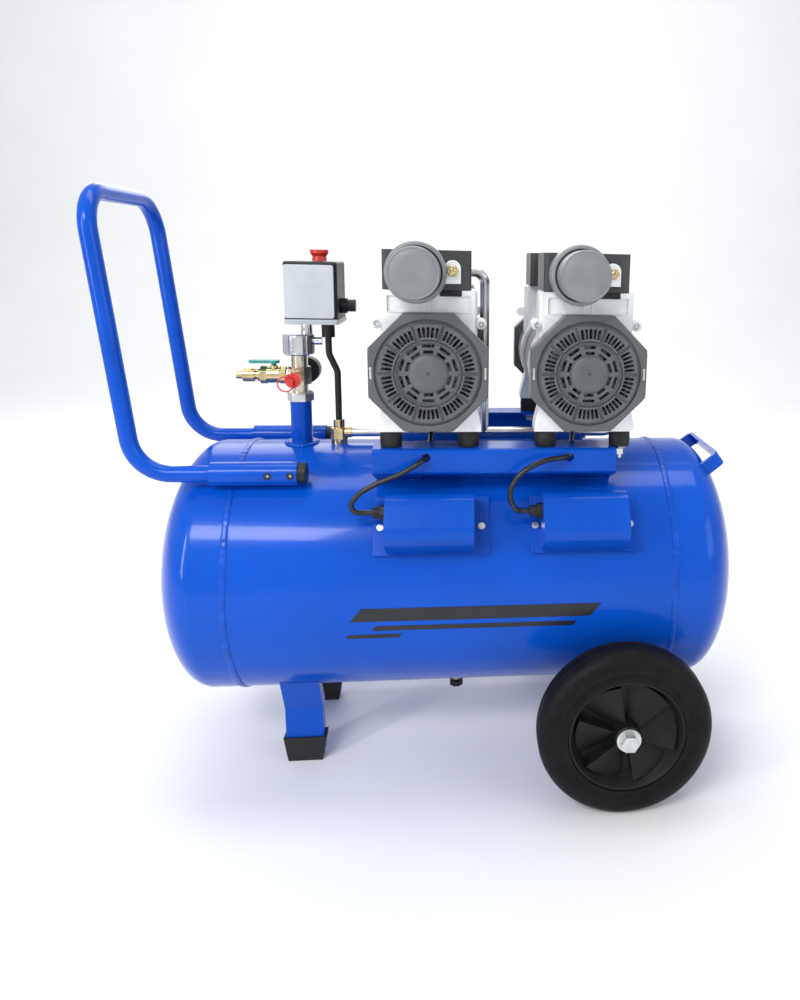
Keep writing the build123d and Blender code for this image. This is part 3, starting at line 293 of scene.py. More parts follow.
def plate(name, centre, normal, loops, thickness, ease, finish, body):
    """A flat plate with holes and eased edges: its back is on centre and it grows along normal."""
    n, a, b = basis(normal)
    curve = bpy.data.curves.new(name, "CURVE")
    curve.dimensions = "2D"
    curve.fill_mode = "BOTH"
    curve.extrude = max(0.0, thickness / 2 - ease)
    curve.bevel_depth = ease
    curve.bevel_resolution = 2
    curve.offset = -ease
    for loop in loops:
        spline = curve.splines.new("POLY")
        spline.points.add(len(loop) - 1)
        for point, (x, y) in zip(spline.points, loop):
            point.co = (x, y, 0, 1)
        spline.use_cyclic_u = True
    holder = bpy.data.objects.new(name + "_curve", curve)
    bpy.context.scene.collection.objects.link(holder)
    bpy.context.view_layer.update()
    mesh = bpy.data.meshes.new_from_object(holder.evaluated_get(bpy.context.evaluated_depsgraph_get()))
    bpy.data.objects.remove(holder)
    bpy.data.curves.remove(curve)
    mid = Vector(centre) + n * (thickness / 2)
    place = Matrix(((a.x, b.x, n.x, mid.x), (a.y, b.y, n.y, mid.y), (a.z, b.z, n.z, mid.z), (0, 0, 0, 1)))
    mesh.transform(place)
    mesh.name = name
    made = bpy.data.objects.new(name, mesh)
    bpy.context.scene.collection.objects.link(made)
    return finish_piece(made, finish, body)


def circle_loop(radius, count=96):
    turn = 2 * math.pi / count
    return [(radius * math.cos(i * turn), radius * math.sin(i * turn)) for i in range(count)]


def octagon_loop(flat, corner):
    """An octagon, flat side up, with each corner cut and rounded a little."""
    reach = flat / math.cos(math.pi / 8)
    loop = []
    for k in range(8):
        middle = math.radians(22.5 + 45 * k)
        tip = Vector((reach * math.cos(middle), reach * math.sin(middle)))
        before = middle - math.radians(112.5)
        after = middle + math.radians(112.5)
        loop.append(tuple(tip + corner * Vector((math.cos(before), math.sin(before)))))
        loop.append(tuple(tip * (1 - 0.25 * corner / reach)))
        loop.append(tuple(tip + corner * Vector((math.cos(after), math.sin(after)))))
    return loop


def sector_loop(inner, outer, middle, half_in, half_out, steps=8):
    """A ring sector from inner to outer radius; the half angles are in degrees."""
    loop = []
    for i in range(steps + 1):
        t = math.radians(middle - half_out + 2 * half_out * i / steps)
        loop.append((outer * math.cos(t), outer * math.sin(t)))
    for i in range(steps + 1):
        t = math.radians(middle + half_in - 2 * half_in * i / steps)
        loop.append((inner * math.cos(t), inner * math.sin(t)))
    return loop


def slot_loop(radius, length, width, turn):
    """A radial slot with clipped corners, centred at radius."""
    t = math.radians(turn)
    along = Vector((math.cos(t), math.sin(t)))
    across = Vector((-along.y, along.x))
    cut = width * 0.3
    u, v = length / 2, width / 2
    outline = [(-u, -v + cut), (-u + cut, -v), (u - cut, -v), (u, -v + cut),
               (u, v - cut), (u - cut, v), (-u + cut, v), (-u, v - cut)]
    return [tuple(along * (radius + x) + across * y) for x, y in outline]


def rounded_box(name, centre, size, ease, finish, body):
    """A block with every edge rounded by ease."""
    work = bmesh.new()
    bmesh.ops.create_cube(work, size=1.0)
    bmesh.ops.scale(work, vec=size, verts=work.verts)
    bmesh.ops.bevel(work, geom=work.edges[:], offset=ease, segments=3, profile=0.5, affect="EDGES")
    bmesh.ops.translate(work, vec=centre, verts=work.verts)
    mesh = bpy.data.meshes.new(name)
    work.to_mesh(mesh)
    work.free()
    made = bpy.data.objects.new(name, mesh)
    bpy.context.scene.collection.objects.link(made)
    return finish_piece(made, finish, body)


def hex_head(name, centre, normal, across_flats, height, finish, body):
    """A hexagon head with a flat, chamfered top."""
    n, a, b = basis(normal)
    corner = across_flats / math.sqrt(3)
    rings = [(0, corner), (height * 0.86, corner), (height, corner * 0.86), (height, 0.0)]
    verts = []
    faces = []
    for along, radius in rings:
        for i in range(6):
            t = math.pi / 3 * i
            verts.append(Vector(centre) + n * along + (a * math.cos(t) + b * math.sin(t)) * radius)
    for j in range(len(rings) - 1):
        for i in range(6):
            k = (i + 1) % 6
            faces.append((j * 6 + i, j * 6 + k, (j + 1) * 6 + k, (j + 1) * 6 + i))
    faces.append(tuple(reversed(range(6))))
    made = mesh_piece(name, verts, faces, finish, body)
    clean(made)
    return made


def arc(along0, radius0, along1, radius1, corner_along, corner_radius, steps=6):
    """Profile points that round a corner between two places."""
    points = []
    for i in range(steps + 1):
        t = i / steps
        along = (1 - t) ** 2 * along0 + 2 * t * (1 - t) * corner_along + t * t * along1
        radius = (1 - t) ** 2 * radius0 + 2 * t * (1 - t) * corner_radius + t * t * radius1
        points.append((along, radius))
    return points


# ---------------------------------------------------------------- fan guards

SECTORS = 10
SLOT_STEP = 5.9
SLOT_RADIUS = 0.045
SLOT_LENGTH = 0.0112
SLOT_WIDTH = 0.0030
PANEL_INNER = 0.0372
PANEL_OUTER = 0.0546
PANEL_THICK = 0.0028
PANEL_EASE = 0.0007
SUNK = 0.0002
OCTAGON_FLAT = 0.0650
OCTAGON_CORNER = 0.004
FRAME_HOLE_R = 0.0582
CLIP_REACH = 0.0618
CLIP_SIZE = (0.0024, 0.0030, 0.0130)
GUARD_FACE_DROP = 0.003
UPRIGHT = 90


def guard_panel(name, face, normal, turn):
    """One raised, slotted panel of a fan guard, drawn upright and then turned round the shaft."""
    slots = [slot_loop(SLOT_RADIUS, SLOT_LENGTH, SLOT_WIDTH, UPRIGHT + k * SLOT_STEP)
             for k in range(-2, 3)]
    outline = sector_loop(PANEL_INNER, PANEL_OUTER, UPRIGHT, 15.4, 16.5)
    made = plate(name, face - Vector(normal) * SUNK, normal, [outline, *slots], PANEL_THICK, PANEL_EASE,
                 GUARD, "tank")
    spin = Matrix.Rotation(math.radians(turn), 4, Vector(normal))
    made.data.transform(Matrix.Translation(face) @ spin @ Matrix.Translation(-face))


for place, centre in PUMPS.items():
    for end, side in SIDES.items():
        normal = (0, side, 0)
        face = Vector((centre.x, side * GUARD_FRONT, centre.z))
        for sector in range(SECTORS):
            turn = (sector + 0.5) * 360 / SECTORS - UPRIGHT
            guard_panel(f"guard_panel_{place}_{end}_{sector}", face, normal, turn)
        lathe(f"guard_hub_{place}_{end}", face, normal,
              [(-SUNK, 0.0206), (0.0020, 0.0204), (0.0030, 0.0190), (0.0036, 0.0120), (0.0038, 0.0030),
               (0.0038, 0.0022), (0.0024, 0.0014), (0.0022, 0.0)],
              GUARD, "tank")
        lathe(f"guard_ring_{place}_{end}", face, normal,
              [(-SUNK, 0.0340), (0.0022, 0.0343), (0.0026, 0.0349), (0.0022, 0.0355),
               (-SUNK, 0.0358), (-SUNK, 0.0340)],
              GUARD, "tank", 96)
        rim = face - Vector((0, side * (GUARD_FACE_DROP + 0.0004), 0))
        plate(f"guard_frame_{place}_{end}", rim, normal,
              [octagon_loop(OCTAGON_FLAT, OCTAGON_CORNER), circle_loop(FRAME_HOLE_R)], 0.0030, 0.0012,
              GUARD, "tank")
        for hand, reach in HANDS.items():
            spot = rim + Vector((reach * CLIP_REACH, side * 0.0022, 0))
            rounded_box(f"guard_clip_{place}_{end}_{hand}", spot, CLIP_SIZE, 0.0006,
                        ZINC, "tank")

# ---------------------------------------------------------------- intake filters

filter_low, filter_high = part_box("intake_filters")
FILTER_R = (filter_high.z - filter_low.z) / 2
FILTER_Z = (filter_high.z + filter_low.z) / 2
FILTER_LEN = filter_high.y - filter_low.y
FILTER_XS = {"left": filter_low.x + FILTER_R, "right": filter_high.x - FILTER_R}
for place, x in FILTER_XS.items():
    base = Vector((x, filter_high.y, FILTER_Z))
    profile = [(0.0, 0.0), (0.0, FILTER_R * 0.96)]
    profile += arc(0.0, FILTER_R * 0.96, 0.004, FILTER_R, 0.0, FILTER_R)
    profile += [(0.021, FILTER_R), *arc(0.021, FILTER_R, 0.026, FILTER_R - 0.004, 0.026, FILTER_R)]
    profile += [(0.026, 0.0282), (0.0245, 0.0276), (0.0245, 0.0268)]
    profile += [(0.056, 0.0272), *arc(0.057, 0.0273, FILTER_LEN - 0.0005, 0.0252, FILTER_LEN, 0.0272)]
    profile += [(FILTER_LEN - 0.0010, 0.0244), (FILTER_LEN - 0.0006, 0.0238), (FILTER_LEN - 0.0002, 0.012),
                (FILTER_LEN, 0.0)]
    body_piece = lathe(f"filter_{place}", base, (0, -1, 0), profile, FILTER, "tank", 96)
    if place == "left":
        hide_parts("intake_filters")
    lathe(f"filter_groove_{place}", base, (0, -1, 0),
          [(0.0248, 0.0270), (0.0262, 0.0272), (0.0266, 0.0279), (0.0262, 0.0287), (0.0248, 0.0289),
           (0.0248, 0.0270)], BLACK, "tank", 96)

# ---------------------------------------------------------------- cylinder head fittings and case details

BLOCK_FRONT = -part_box("pump_left_crankcases")[0].y
HEAD_FRONT = -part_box("pump_left_heads")[0].y
HEAD_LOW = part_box("pump_left_heads")[0].z
PORT_OFF = 0.026
PORT_RISE = 0.0195
PORT_HALF = 0.009
PORT_ARCH = 0.004
PORT_DROP = 0.0125
PORT_THICK = 0.0040
PLUG_RISE = 0.0015
PLUG_FLATS = 0.0115
PLUG_HEIGHT = 0.0050
GASKET_SIZE = (0.024, 0.0030, 0.0066)
PANEL_OFF = 0.025
PANEL_RISE = 0.074
PANEL_RIB = 0.0015
EAR_OFF = 0.0575
EAR_Y = 0.100
EAR_RISE = 0.052
EAR_SCREW_OUT = 0.0160


def rectangle_loop(half_x, half_y):
    return [(-half_x, -half_y), (half_x, -half_y), (half_x, half_y), (-half_x, half_y)]


for place, centre in PUMPS.items():
    for end, side in SIDES.items():
        normal = (0, side, 0)
        flip = -side
        spot = Vector((centre.x + flip * PORT_OFF, side * HEAD_FRONT, HEAD_LOW + PORT_RISE))
        outline = [(-PORT_HALF, -PORT_DROP), (PORT_HALF, -PORT_DROP), (PORT_HALF, PORT_ARCH)]
        outline += [(PORT_HALF * math.cos(t), PORT_ARCH + PORT_HALF * math.sin(t))
                    for t in [math.pi * k / 12 for k in range(1, 12)]]
        outline += [(-PORT_HALF, PORT_ARCH)]
        plate(f"port_plate_{place}_{end}", spot, normal, [outline], PORT_THICK, 0.0008,
              CAST, "tank")
        plug = spot + Vector((0, side * PORT_THICK, PLUG_RISE))
        hex_head(f"port_plug_{place}_{end}", plug, normal, PLUG_FLATS, PLUG_HEIGHT,
                 BRASS, "tank")
        screw = spot + Vector((0, side * (PORT_THICK + PLUG_HEIGHT), PLUG_RISE))
        lathe(f"port_screw_{place}_{end}", screw, normal,
              [(0.0, 0.0030), (0.0010, 0.0030), (0.0014, 0.0022), (0.0006, 0.0014), (0.0006, 0.0)],
              BRASS, "tank", 24)
        rounded_box(f"gasket_{place}_{end}",
                    Vector((centre.x + flip * 0.024, side * (BLOCK_FRONT + 0.0002), HEAD_LOW - 0.0035)),
                    GASKET_SIZE, 0.0008, BLACK, "tank")
        for hand, reach in HANDS.items():
            spot = Vector((centre.x + reach * PANEL_OFF, side * BLOCK_FRONT, centre.z + PANEL_RISE))
            outer = rectangle_loop(0.0215, 0.0100)
            inner = rectangle_loop(0.0215 - PANEL_RIB, 0.0100 - PANEL_RIB)
            plate(f"case_panel_{place}_{end}_{hand}", spot, normal, [outer, inner],
                  0.0010, 0.0004, CAST, "tank")
            ear = Vector((centre.x + reach * EAR_OFF, side * EAR_Y, centre.z + EAR_RISE))
            lathe(f"case_ear_{place}_{end}_{hand}", ear, normal,
                  [(0.0, 0.0), (0.0, 0.0062), (0.0150, 0.0062), (0.0162, 0.0050), (0.0162, 0.0)],
                  CAST, "tank", 32)
            lathe(f"case_screw_{place}_{end}_{hand}", ear + Vector((0, side * EAR_SCREW_OUT, 0)), normal,
                  [(0.0, 0.0036), (0.0018, 0.0034), (0.0024, 0.0026), (0.0012, 0.0018), (0.0012, 0.0)],
                  ZINC, "tank", 24)

# ---------------------------------------------------------------- rubber mounts

mount_low, mount_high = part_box("rubber_mounts")
MOUNT_R = 0.012
MOUNT_SPREAD = 0.044
mount_xs = [c.x + s * MOUNT_SPREAD for c in PUMPS.values() for s in (-1, 1)]
mount_y = mount_high.y - MOUNT_R
mount_h = mount_high.z - mount_low.z
for i, x in enumerate(mount_xs):
    for end, side in SIDES.items():
        base = Vector((x, side * mount_y, mount_low.z))
        made = lathe(f"mount_{i}_{end}", base, (0, 0, 1),
                     [(0.0, 0.0), (0.0, MOUNT_R - 0.0004), (0.0010, MOUNT_R),
                      (mount_h * 0.5, MOUNT_R + 0.0006), (mount_h - 0.0010, MOUNT_R),
                      (mount_h, MOUNT_R - 0.0004), (mount_h, 0.0)],
                     RUBBER, "tank", 48)
        if i == 0 and side < 0:
            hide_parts("rubber_mounts")

# ---------------------------------------------------------------- wheels

RIM_R = 0.0680
BEAD_R = 0.0715
WALL_R = 0.0760
SHOULDER_R = 0.0800
GROOVE = 0.0010
AXLE_R = 0.0064
BLADES = 6
BLADE_FIRST = 39
BLADE_SWEEP = math.radians(50)
BLADE_ROWS = 7
BLADE_RADII = (0.0165, 0.0400, 0.0590)

for place, centre in WHEELS.items():
    side = SIDES[place]
    tyre_low, tyre_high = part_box(f"wheel_{place}_tyre")
    radius = (tyre_high.z - tyre_low.z) / 2
    half = (tyre_high.y - tyre_low.y) / 2
    body = f"wheel_{place}"
    profile = [(-half + 0.002, RIM_R), (-half + 0.001, BEAD_R), (-half + 0.0025, WALL_R),
               *arc(-half, SHOULDER_R, -0.008, radius, -half, radius - 0.003, 9),
               (-0.0075, radius), (-0.0070, radius - GROOVE), (-0.0060, radius - GROOVE), (-0.0055, radius),
               (0.0055, radius), (0.0060, radius - GROOVE), (0.0070, radius - GROOVE), (0.0075, radius),
               *arc(0.008, radius, half, SHOULDER_R, half, radius - 0.003, 9),
               (half - 0.0025, WALL_R), (half - 0.001, BEAD_R), (half - 0.002, RIM_R),
               (-half + 0.002, RIM_R)]
    tyre = lathe(f"tyre_{place}", centre, (0, side, 0), profile, TYRE, body, 128)
    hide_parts(f"wheel_{place}_tyre")
    face = half - 0.003
    rim = lathe(f"rim_{place}", centre, (0, side, 0),
                [(-half + 0.003, RIM_R), (face - 0.001, RIM_R), (face, RIM_R - 0.0008),
                 (face, RIM_R - 0.0030), (face - 0.0015, RIM_R - 0.0042), (face - 0.0130, RIM_R - 0.0090),
                 (face - 0.0150, RIM_R - 0.0110), (face - 0.0155, 0.0), (-half + 0.012, 0.0),
                 (-half + 0.012, RIM_R - 0.010), (-half + 0.004, RIM_R - 0.0045), (-half + 0.003, RIM_R)],
                HUB, body, 96)
    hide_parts(f"wheel_{place}_hub")
    lathe(f"boss_{place}", centre, (0, side, 0),
          [(face - 0.016, 0.0175), (half + 0.0005, 0.0150), (half + 0.0018, 0.0138),
           (half + 0.0018, AXLE_R), (half - 0.004, AXLE_R)], HUB, body, 48)
    lathe(f"boss_back_{place}", centre, (0, -side, 0),
          [(half - 0.014, 0.0175), (half + 0.0012, 0.0155), (half + 0.0018, 0.0145),
           (half + 0.0018, AXLE_R), (half - 0.004, AXLE_R)], HUB, body, 48)
    for blade in range(BLADES):
        start = math.radians(blade * 360 / BLADES + BLADE_FIRST)
        verts = []
        faces = []
        for i in range(BLADE_ROWS):
            t = i / (BLADE_ROWS - 1)
            angle = start + BLADE_SWEEP * t
            lift = face - 0.0148 + 0.0128 * (1 - t)
            spokes = [Vector((-side * r * math.cos(angle), 0, r * math.sin(angle))) for r in BLADE_RADII]
            for spoke, level in zip(spokes, (lift, lift, lift - 0.0006)):
                verts.append(centre + spoke + Vector((0, side * level, 0)))
            for spoke in spokes:
                verts.append(centre + spoke + Vector((0, side * (face - 0.0160), 0)))
        for i in range(BLADE_ROWS - 1):
            a, b = i * 6, (i + 1) * 6
            faces += [(a, b, b + 1, a + 1), (a + 1, b + 1, b + 2, a + 2), (a + 3, a + 4, b + 4, b + 3),
                      (a + 4, a + 5, b + 5, b + 4), (a, a + 3, b + 3, b), (a + 2, b + 2, b + 5, a + 5)]
        for a in (0, (BLADE_ROWS - 1) * 6):
            faces += [(a, a + 1, a + 4, a + 3), (a + 1, a + 2, a + 5, a + 4)]
        clean(mesh_piece(f"blade_{place}_{blade}", verts, faces, HUB, body))

# ---------------------------------------------------------------- weld beads and tank print


def weld_ring(name, x):
    """A slightly uneven weld bead round the tank."""
    count, around = 360, 8
    verts = []
    faces = []
    for i in range(count):
        t = 2 * math.pi * i / count
        wobble = 0.00025 * math.sin(i * 1.9) + random.uniform(-0.0002, 0.0002)
        shift = 0.0006 * math.sin(t * 7 + x * 50)
        for j in range(around):
            u = 2 * math.pi * j / around
            r = TANK_R - 0.0004 + (0.0019 + wobble) * math.sin(u)
            along = x + shift + (0.0042 + wobble) * math.cos(u)
            verts.append((along, r * math.cos(t), TANK_Z + r * math.sin(t)))
    for i in range(count):
        k = (i + 1) % count
        for j in range(around):
            m = (j + 1) % around
            faces.append((i * around + j, k * around + j, k * around + m, i * around + m))
    clean(mesh_piece(name, verts, faces, WELD, "tank"))


weld_ring("weld_left", shell_low.x)
weld_ring("weld_right", shell_high.x)


def bead_run(name, points, width, height, finish):
    """A lumpy bead of weld metal laid along a row of points."""
    path = []
    for a, b in zip(points, points[1:]):
        steps = max(2, int((Vector(b) - Vector(a)).length / 0.0016))
        path += [Vector(a).lerp(Vector(b), i / steps) for i in range(steps)]
    path.append(Vector(points[-1]))
    around = 8
    verts = []
    faces = []
    for i, p in enumerate(path):
        ahead = path[min(i + 1, len(path) - 1)] - path[max(i - 1, 0)]
        n, a, b = basis(ahead)
        fade = min(1.0, 0.25 + min(i, len(path) - 1 - i) / 3)
        swell = (1 + 0.16 * math.sin(i * 1.7) + random.uniform(-0.06, 0.06)) * fade
        for j in range(around):
            u = 2 * math.pi * j / around
            verts.append(p + a * (width * swell * math.cos(u)) + b * (height * swell * math.sin(u)))
    for i in range(len(path) - 1):
        for j in range(around):
            m = (j + 1) % around
            faces.append((i * around + j, (i + 1) * around + j, (i + 1) * around + m, i * around + m))
    faces.append(tuple(reversed(range(around))))
    faces.append(tuple(range((len(path) - 1) * around, len(path) * around)))
    clean(mesh_piece(name, verts, faces, finish, "tank"))


SADDLE_EDGE_Y = 0.0835
WELD_Y = 0.0850
RISER_WELD_R = 0.0190
SADDLE_WELDS = ((0.001, 0.027), (0.039, 0.057), (0.123, 0.153), (0.161, 0.177), (0.221, 0.275))
saddle_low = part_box("saddle_front")[0]
for end, side in SIDES.items():
    edge_z = TANK_Z + math.sqrt(TANK_R ** 2 - SADDLE_EDGE_Y ** 2)
    for index, (start, stop) in enumerate(SADDLE_WELDS):
        x0, x1 = saddle_low.x + start, saddle_low.x + stop
        bead_run(f"saddle_weld_{end}_{index}",
                 [(x0, side * WELD_Y, edge_z - 0.0010),
                  ((x0 + x1) / 2, side * (WELD_Y + 0.0008), edge_z - 0.0016),
                  (x1, side * WELD_Y, edge_z - 0.0010)], 0.0028, 0.0022, WELD)

riser_low, riser_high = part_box("riser_pipe")
riser = Vector(((riser_low.x + riser_high.x) / 2, 0, 0))
loop = []
for i in range(49):
    t = 2 * math.pi * i / 48
    x, y = riser.x + RISER_WELD_R * math.cos(t), RISER_WELD_R * math.sin(t)
    loop.append((x, y, TANK_Z + math.sqrt(TANK_R ** 2 - y ** 2) + 0.0008))
bead_run("riser_weld", loop, 0.0022, 0.0020, WELD)


def wrap_bar(name, x0, x1, z0, z1, slant):
    """A printed bar that follows the front of the tank; its ends lean by slant."""
    cols, rows = 40, 6
    verts = []
    faces = []
    for lift in (0.0003, -0.0006):
        for j in range(rows + 1):
            z = z0 + (z1 - z0) * j / rows
            lean = slant * (z - z0)
            y = -math.sqrt((TANK_R + lift) ** 2 - (z - TANK_Z) ** 2)
            for i in range(cols + 1):
                verts.append((x0 + lean + (x1 - x0) * i / cols, y, z))
    size = (cols + 1) * (rows + 1)
    for j in range(rows):
        for i in range(cols):
            a = j * (cols + 1) + i
            faces.append((a, a + 1, a + cols + 2, a + cols + 1))
            faces.append((size + a, size + a + cols + 1, size + a + cols + 2, size + a + 1))
    for i in range(cols):
        a, b = i, rows * (cols + 1) + i
        faces += [(a, size + a, size + a + 1, a + 1), (b, b + 1, size + b + 1, size + b)]
    for j in range(rows):
        a, b = j * (cols + 1), j * (cols + 1) + cols
        faces.append((a, a + cols + 1, size + a + cols + 1, size + a))
        faces.append((b, size + b, size + b + cols + 1, b + cols + 1))
    clean(mesh_piece(name, verts, faces, INK, "tank"))


PRINT_SLANT = 0.8
PRINT_BARS = {"upper": (-0.119, 0.155, -0.0165, -0.0005), "lower": (-0.095, 0.135, -0.0285, -0.0225),
              "edge": (-0.125, -0.065, -0.0385, -0.0335)}
for bar_name, (x0, x1, z0, z1) in PRINT_BARS.items():
    wrap_bar(f"print_bar_{bar_name}", TANK_X + x0, TANK_X + x1, TANK_Z + z0, TANK_Z + z1, PRINT_SLANT)

# ---------------------------------------------------------------- pressure switch, gauge and valves

cover_low, cover_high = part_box("switch_cover")
base_low, base_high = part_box("switch_base")
mid_x = (cover_low.x + cover_high.x) / 2
FACE_CORNER = 0.003
for end, side in SIDES.items():
    outline = []
    r = FACE_CORNER
    w = (cover_high.x - cover_low.x) / 2 - 0.0022 - r
    h = (cover_high.z - cover_low.z) / 2 - 0.0026 - r
    for cx, cy, first in ((w, h, 0), (-w, h, 90), (-w, -h, 180), (w, -h, 270)):
        for k in range(7):
            t = math.radians(first + 15 * k)
            outline.append((cx + r * math.cos(t), cy + r * math.sin(t)))
    spot = Vector((mid_x - 0.0012, side * cover_high.y, (cover_low.z + cover_high.z) / 2 - 0.0012))
    plate(f"switch_face_{end}", spot, (0, side, 0), [outline], 0.0016, 0.0005,
          SWITCH, "tank")
    for level in (0.0018, 0.0040):
        rounded_box(f"switch_lip_{end}_{int(level * 10000)}",
                    Vector((mid_x, side * (base_high.y + 0.0002), base_low.z + level)),
                    (base_high.x - base_low.x - 0.004, 0.0012, 0.0009), 0.0003,
                    SWITCH, "tank")

hex_head("riser_nut", Vector((riser.x, 0, riser_high.z + 0.0003)), (0, 0, 1), 0.0282, 0.0108,
         ZINC, "tank")
drum_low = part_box("diaphragm_housing")[0]
for level in (0.0030, 0.0225):
    lathe(f"drum_bead_{int(level * 10000)}", Vector((riser.x, 0, drum_low.z + level)), (0, 0, 1),
          [(-0.0008, 0.0190), (-0.0004, 0.0200), (0.0004, 0.0200), (0.0008, 0.0190), (-0.0008, 0.0190)],
          CHROME, "tank", 64)

body_low, body_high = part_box("safety_valve_body")
valve_z = (body_low.z + body_high.z) / 2
for index, (r0, r1, lift) in enumerate(((0.0068, 0.0086, 0.0010), (0.0, 0.0045, 0.0014))):
    profile = [(0.0, r0), (lift, r0 + 0.0003), (lift, r1 - 0.0004), (0.0, r1), (0.0, r0)] if r0 else \
        [(0.0, 0.0), (0.0, r1), (lift * 0.6, r1 - 0.0005), (lift, 0.0)]
    lathe(f"safety_disc_{index}", Vector((riser.x, -0.0349, valve_z)), (0, -1, 0), profile, RED,
          "safety_valve_ring", 40)

gauge_low, gauge_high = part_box("gauge_case")
gauge_r = (gauge_high.z - gauge_low.z) / 2
gauge = Vector((riser.x, gauge_high.y, (gauge_low.z + gauge_high.z) / 2))
lathe("gauge_dial", gauge - Vector((0, 0.0128, 0)), (0, 1, 0),
      [(0.0, 0.0016), (0.0, gauge_r - 0.0018), (0.0008, gauge_r - 0.0018), (0.0008, 0.0016), (0.0, 0.0016)],
      DIAL, "tank", 64)
TICKS = 28
TICK_START = 225
TICK_STEP = 10
for tick in range(TICKS):
    t = math.radians(TICK_START - tick * TICK_STEP)
    long_tick = tick % 3 == 0
    inner = gauge_r - (0.0070 if long_tick else 0.0050)
    a = Vector((-math.cos(t), 0, math.sin(t)))
    b = Vector((a.z, 0, -a.x))
    verts = []
    for r in (inner, gauge_r - 0.0030):
        for w in (-0.0004, 0.0004):
            for y in (-0.0121, -0.0118):
                verts.append(gauge + a * r + b * w + Vector((0, y, 0)))
    faces = [(0, 1, 3, 2), (4, 6, 7, 5), (0, 4, 5, 1), (2, 3, 7, 6), (0, 2, 6, 4), (1, 5, 7, 3)]
    clean(mesh_piece(f"gauge_tick_{tick}", verts, faces, INK, "tank"))
lathe("gauge_lens", gauge - Vector((0, 0.0032, 0)), (0, 1, 0),
      [(0.0, 0.0), (0.0, gauge_r - 0.0016), (0.0018, gauge_r - 0.0016), (0.0024, gauge_r - 0.005),
       (0.0028, 0.0)], GLASS, "tank", 64)

collar_low, collar_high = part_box("coupler_collar")
collar = (collar_low + collar_high) / 2
KNURLS = 5
KNURL_FIRST = 0.0022
KNURL_STEP = 0.0024
for index in range(KNURLS):
    x = collar_low.x + KNURL_FIRST + index * KNURL_STEP
    lathe(f"collar_knurl_{index}", Vector((x, 0, collar.z)), (1, 0, 0),
          [(-0.0008, 0.0082), (-0.0004, 0.0090), (0.0004, 0.0090), (0.0008, 0.0082), (-0.0008, 0.0082)],
          BRASS, "coupler_collar", 48)

# ---------------------------------------------------------------- screws

CROSS_WIDTH = 0.0011
CROSS_ARM = 0.0026
SCREW_R = 0.0042
SCREW_BACK = (0.032, 0.007)
sleeve_low, sleeve_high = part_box("handle_sleeves")
for end, side in SIDES.items():
    for x in [sleeve_high.x - back for back in SCREW_BACK]:
        spot = Vector((x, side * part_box("small_screws")[1].y, (sleeve_low.z + sleeve_high.z) / 2))
        cross = []
        for u, v in ((1, 1), (-1, 1), (-1, -1), (1, -1)):
            long_arm, short_arm = CROSS_ARM, CROSS_WIDTH / 2
            first = (long_arm * u, short_arm * v)
            corner = (short_arm * u, short_arm * v)
            last = (short_arm * u, long_arm * v)
            cross += [first, corner, last] if u * v > 0 else [last, corner, first]
        plate(f"sleeve_screw_{end}_{int(-x * 1000)}", spot, (0, side, 0), [circle_loop(SCREW_R, 40), cross],
              0.0014, 0.0003, BLACK, "tank")

# ---------------------------------------------------------------- stage, light and camera


def backdrop():
    """A pale floor that sweeps up into a wall before and behind the object."""
    flat_half, bend, wall_top, half_width = 2.2, 1.5, 5.0, 6.0
    sweep_up = [(flat_half, 0.0)]
    for k in range(1, 25):
        t = math.pi / 2 * k / 24
        sweep_up.append((flat_half + bend * math.sin(t), bend - bend * math.cos(t)))
    sweep_up.append((flat_half + bend, wall_top))
    rows = [(-y, z) for y, z in reversed(sweep_up)] + sweep_up
    verts = [(x, y, z) for y, z in rows for x in (-half_width, half_width)]
    faces = [(2 * j, 2 * j + 1, 2 * j + 3, 2 * j + 2) for j in range(len(rows) - 1)]
    mesh = bpy.data.meshes.new("floor")
    mesh.from_pydata(verts, [], faces)
    mesh.shade_smooth()
    return mesh


floor_mesh = backdrop()
floor = bpy.data.objects.new("floor", floor_mesh)
bpy.context.scene.collection.objects.link(floor)
floor_paint, floor_tree, floor_shader = new_material("floor_paint")
floor_tint = ramp(floor_tree, noise(floor_tree, 3.0).outputs["Fac"], (0.83, 0.83, 0.83), (0.85, 0.85, 0.85))
floor_tree.links.new(floor_tint.outputs["Color"], floor_shader.inputs["Base Color"])
floor_shader.inputs["Roughness"].default_value = 0.75
floor_mesh.materials.append(floor_paint)

world = bpy.data.worlds.new("studio")
world.use_nodes = True
world.node_tree.nodes["Background"].inputs["Color"].default_value = (0.93, 0.95, 1.0, 1)
world.node_tree.nodes["Background"].inputs["Strength"].default_value = 0.66
bpy.context.scene.world = world


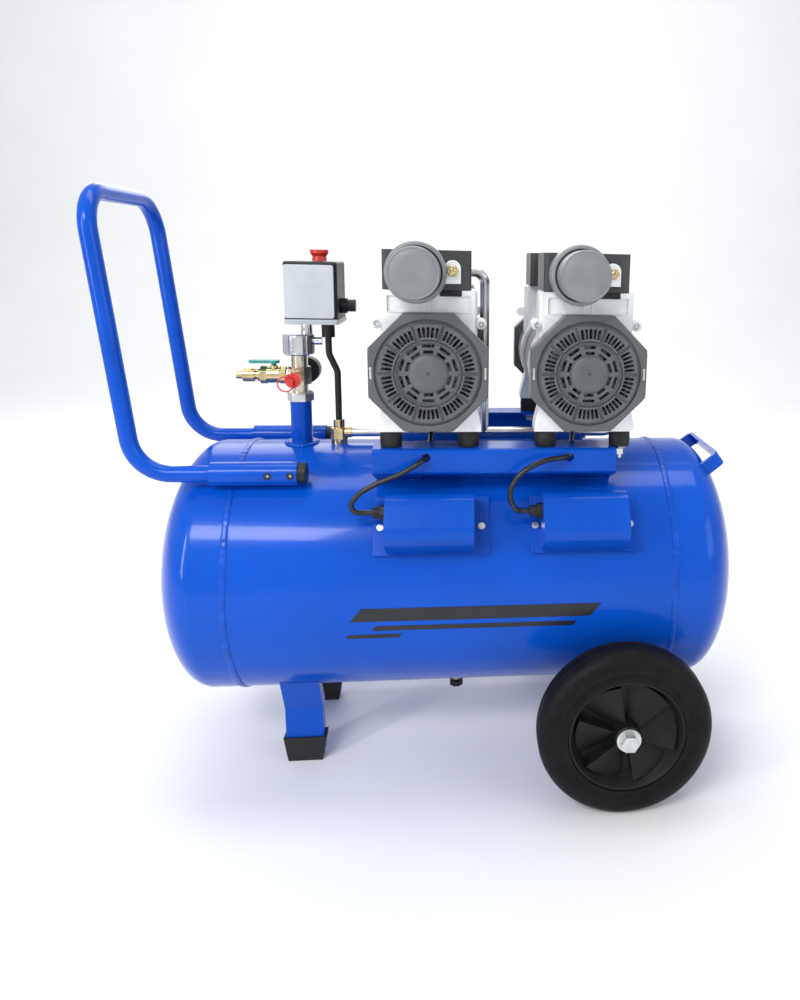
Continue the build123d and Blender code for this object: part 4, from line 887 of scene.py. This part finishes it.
def soft_light(name, place, target, size, power):
    """A rectangular studio light at place, turned to face target."""
    lamp = bpy.data.lights.new(name, "AREA")
    lamp.shape = "RECTANGLE"
    lamp.size, lamp.size_y = size
    lamp.energy = power
    holder = bpy.data.objects.new(name, lamp)
    holder.location = place
    holder.rotation_euler = (Vector(target) - Vector(place)).to_track_quat("-Z", "Y").to_euler()
    bpy.context.scene.collection.objects.link(holder)


soft_light("key", (-0.9, -1.8, 2.0), (0, 0, 0.35), (0.9, 0.5), 26)
soft_light("fill", (1.9, -1.4, 1.2), (0, 0, 0.35), (1.2, 1.2), 10)
soft_light("top", (0.1, 0.1, 2.2), (0.1, 0, 0.4), (1.6, 0.6), 15)
soft_light("strip", (-1.5, -1.3, 0.9), (-0.2, 0, 0.3), (0.10, 1.1), 13)
soft_light("wall", (0, 0.9, 2.4), (0, 3.6, 1.0), (2.6, 0.8), 45)
soft_light("back", (-0.4, 2.0, 1.6), (0, 0, 0.4), (1.6, 1.0), 14)

F_PX, PRINCIPAL_X, PRINCIPAL_Y = 775.09, 543.45, 403.28
EYE = Vector((0.02557, -0.98283, 0.63251))
YAW, PITCH, ROLL = 0.111, 0.187, 0.022
SENSOR_MM = 36
PICTURE_W, PICTURE_H = 800, 1000
camera_data = bpy.data.cameras.new("camera")
camera = bpy.data.objects.new("camera", camera_data)
bpy.context.scene.collection.objects.link(camera)
ahead = Vector((math.sin(YAW) * math.cos(PITCH), math.cos(YAW) * math.cos(PITCH), -math.sin(PITCH)))
level = Vector((math.cos(YAW), -math.sin(YAW), 0))
upward = level.cross(ahead)
right = level * math.cos(ROLL) + upward * math.sin(ROLL)
up = upward * math.cos(ROLL) - level * math.sin(ROLL)
camera.matrix_world = Matrix((
    (right.x, up.x, -ahead.x, EYE.x),
    (right.y, up.y, -ahead.y, EYE.y),
    (right.z, up.z, -ahead.z, EYE.z),
    (0, 0, 0, 1),
))
camera_data.sensor_width = SENSOR_MM
camera_data.lens = F_PX * SENSOR_MM / PICTURE_H
camera_data.shift_x = (PICTURE_W / 2 - PRINCIPAL_X) / PICTURE_H
camera_data.shift_y = (PRINCIPAL_Y - PICTURE_H / 2) / PICTURE_H
camera_data.clip_start = 0.01
bpy.context.scene.camera = camera
bpy.context.scene.view_settings.view_transform = "Standard"
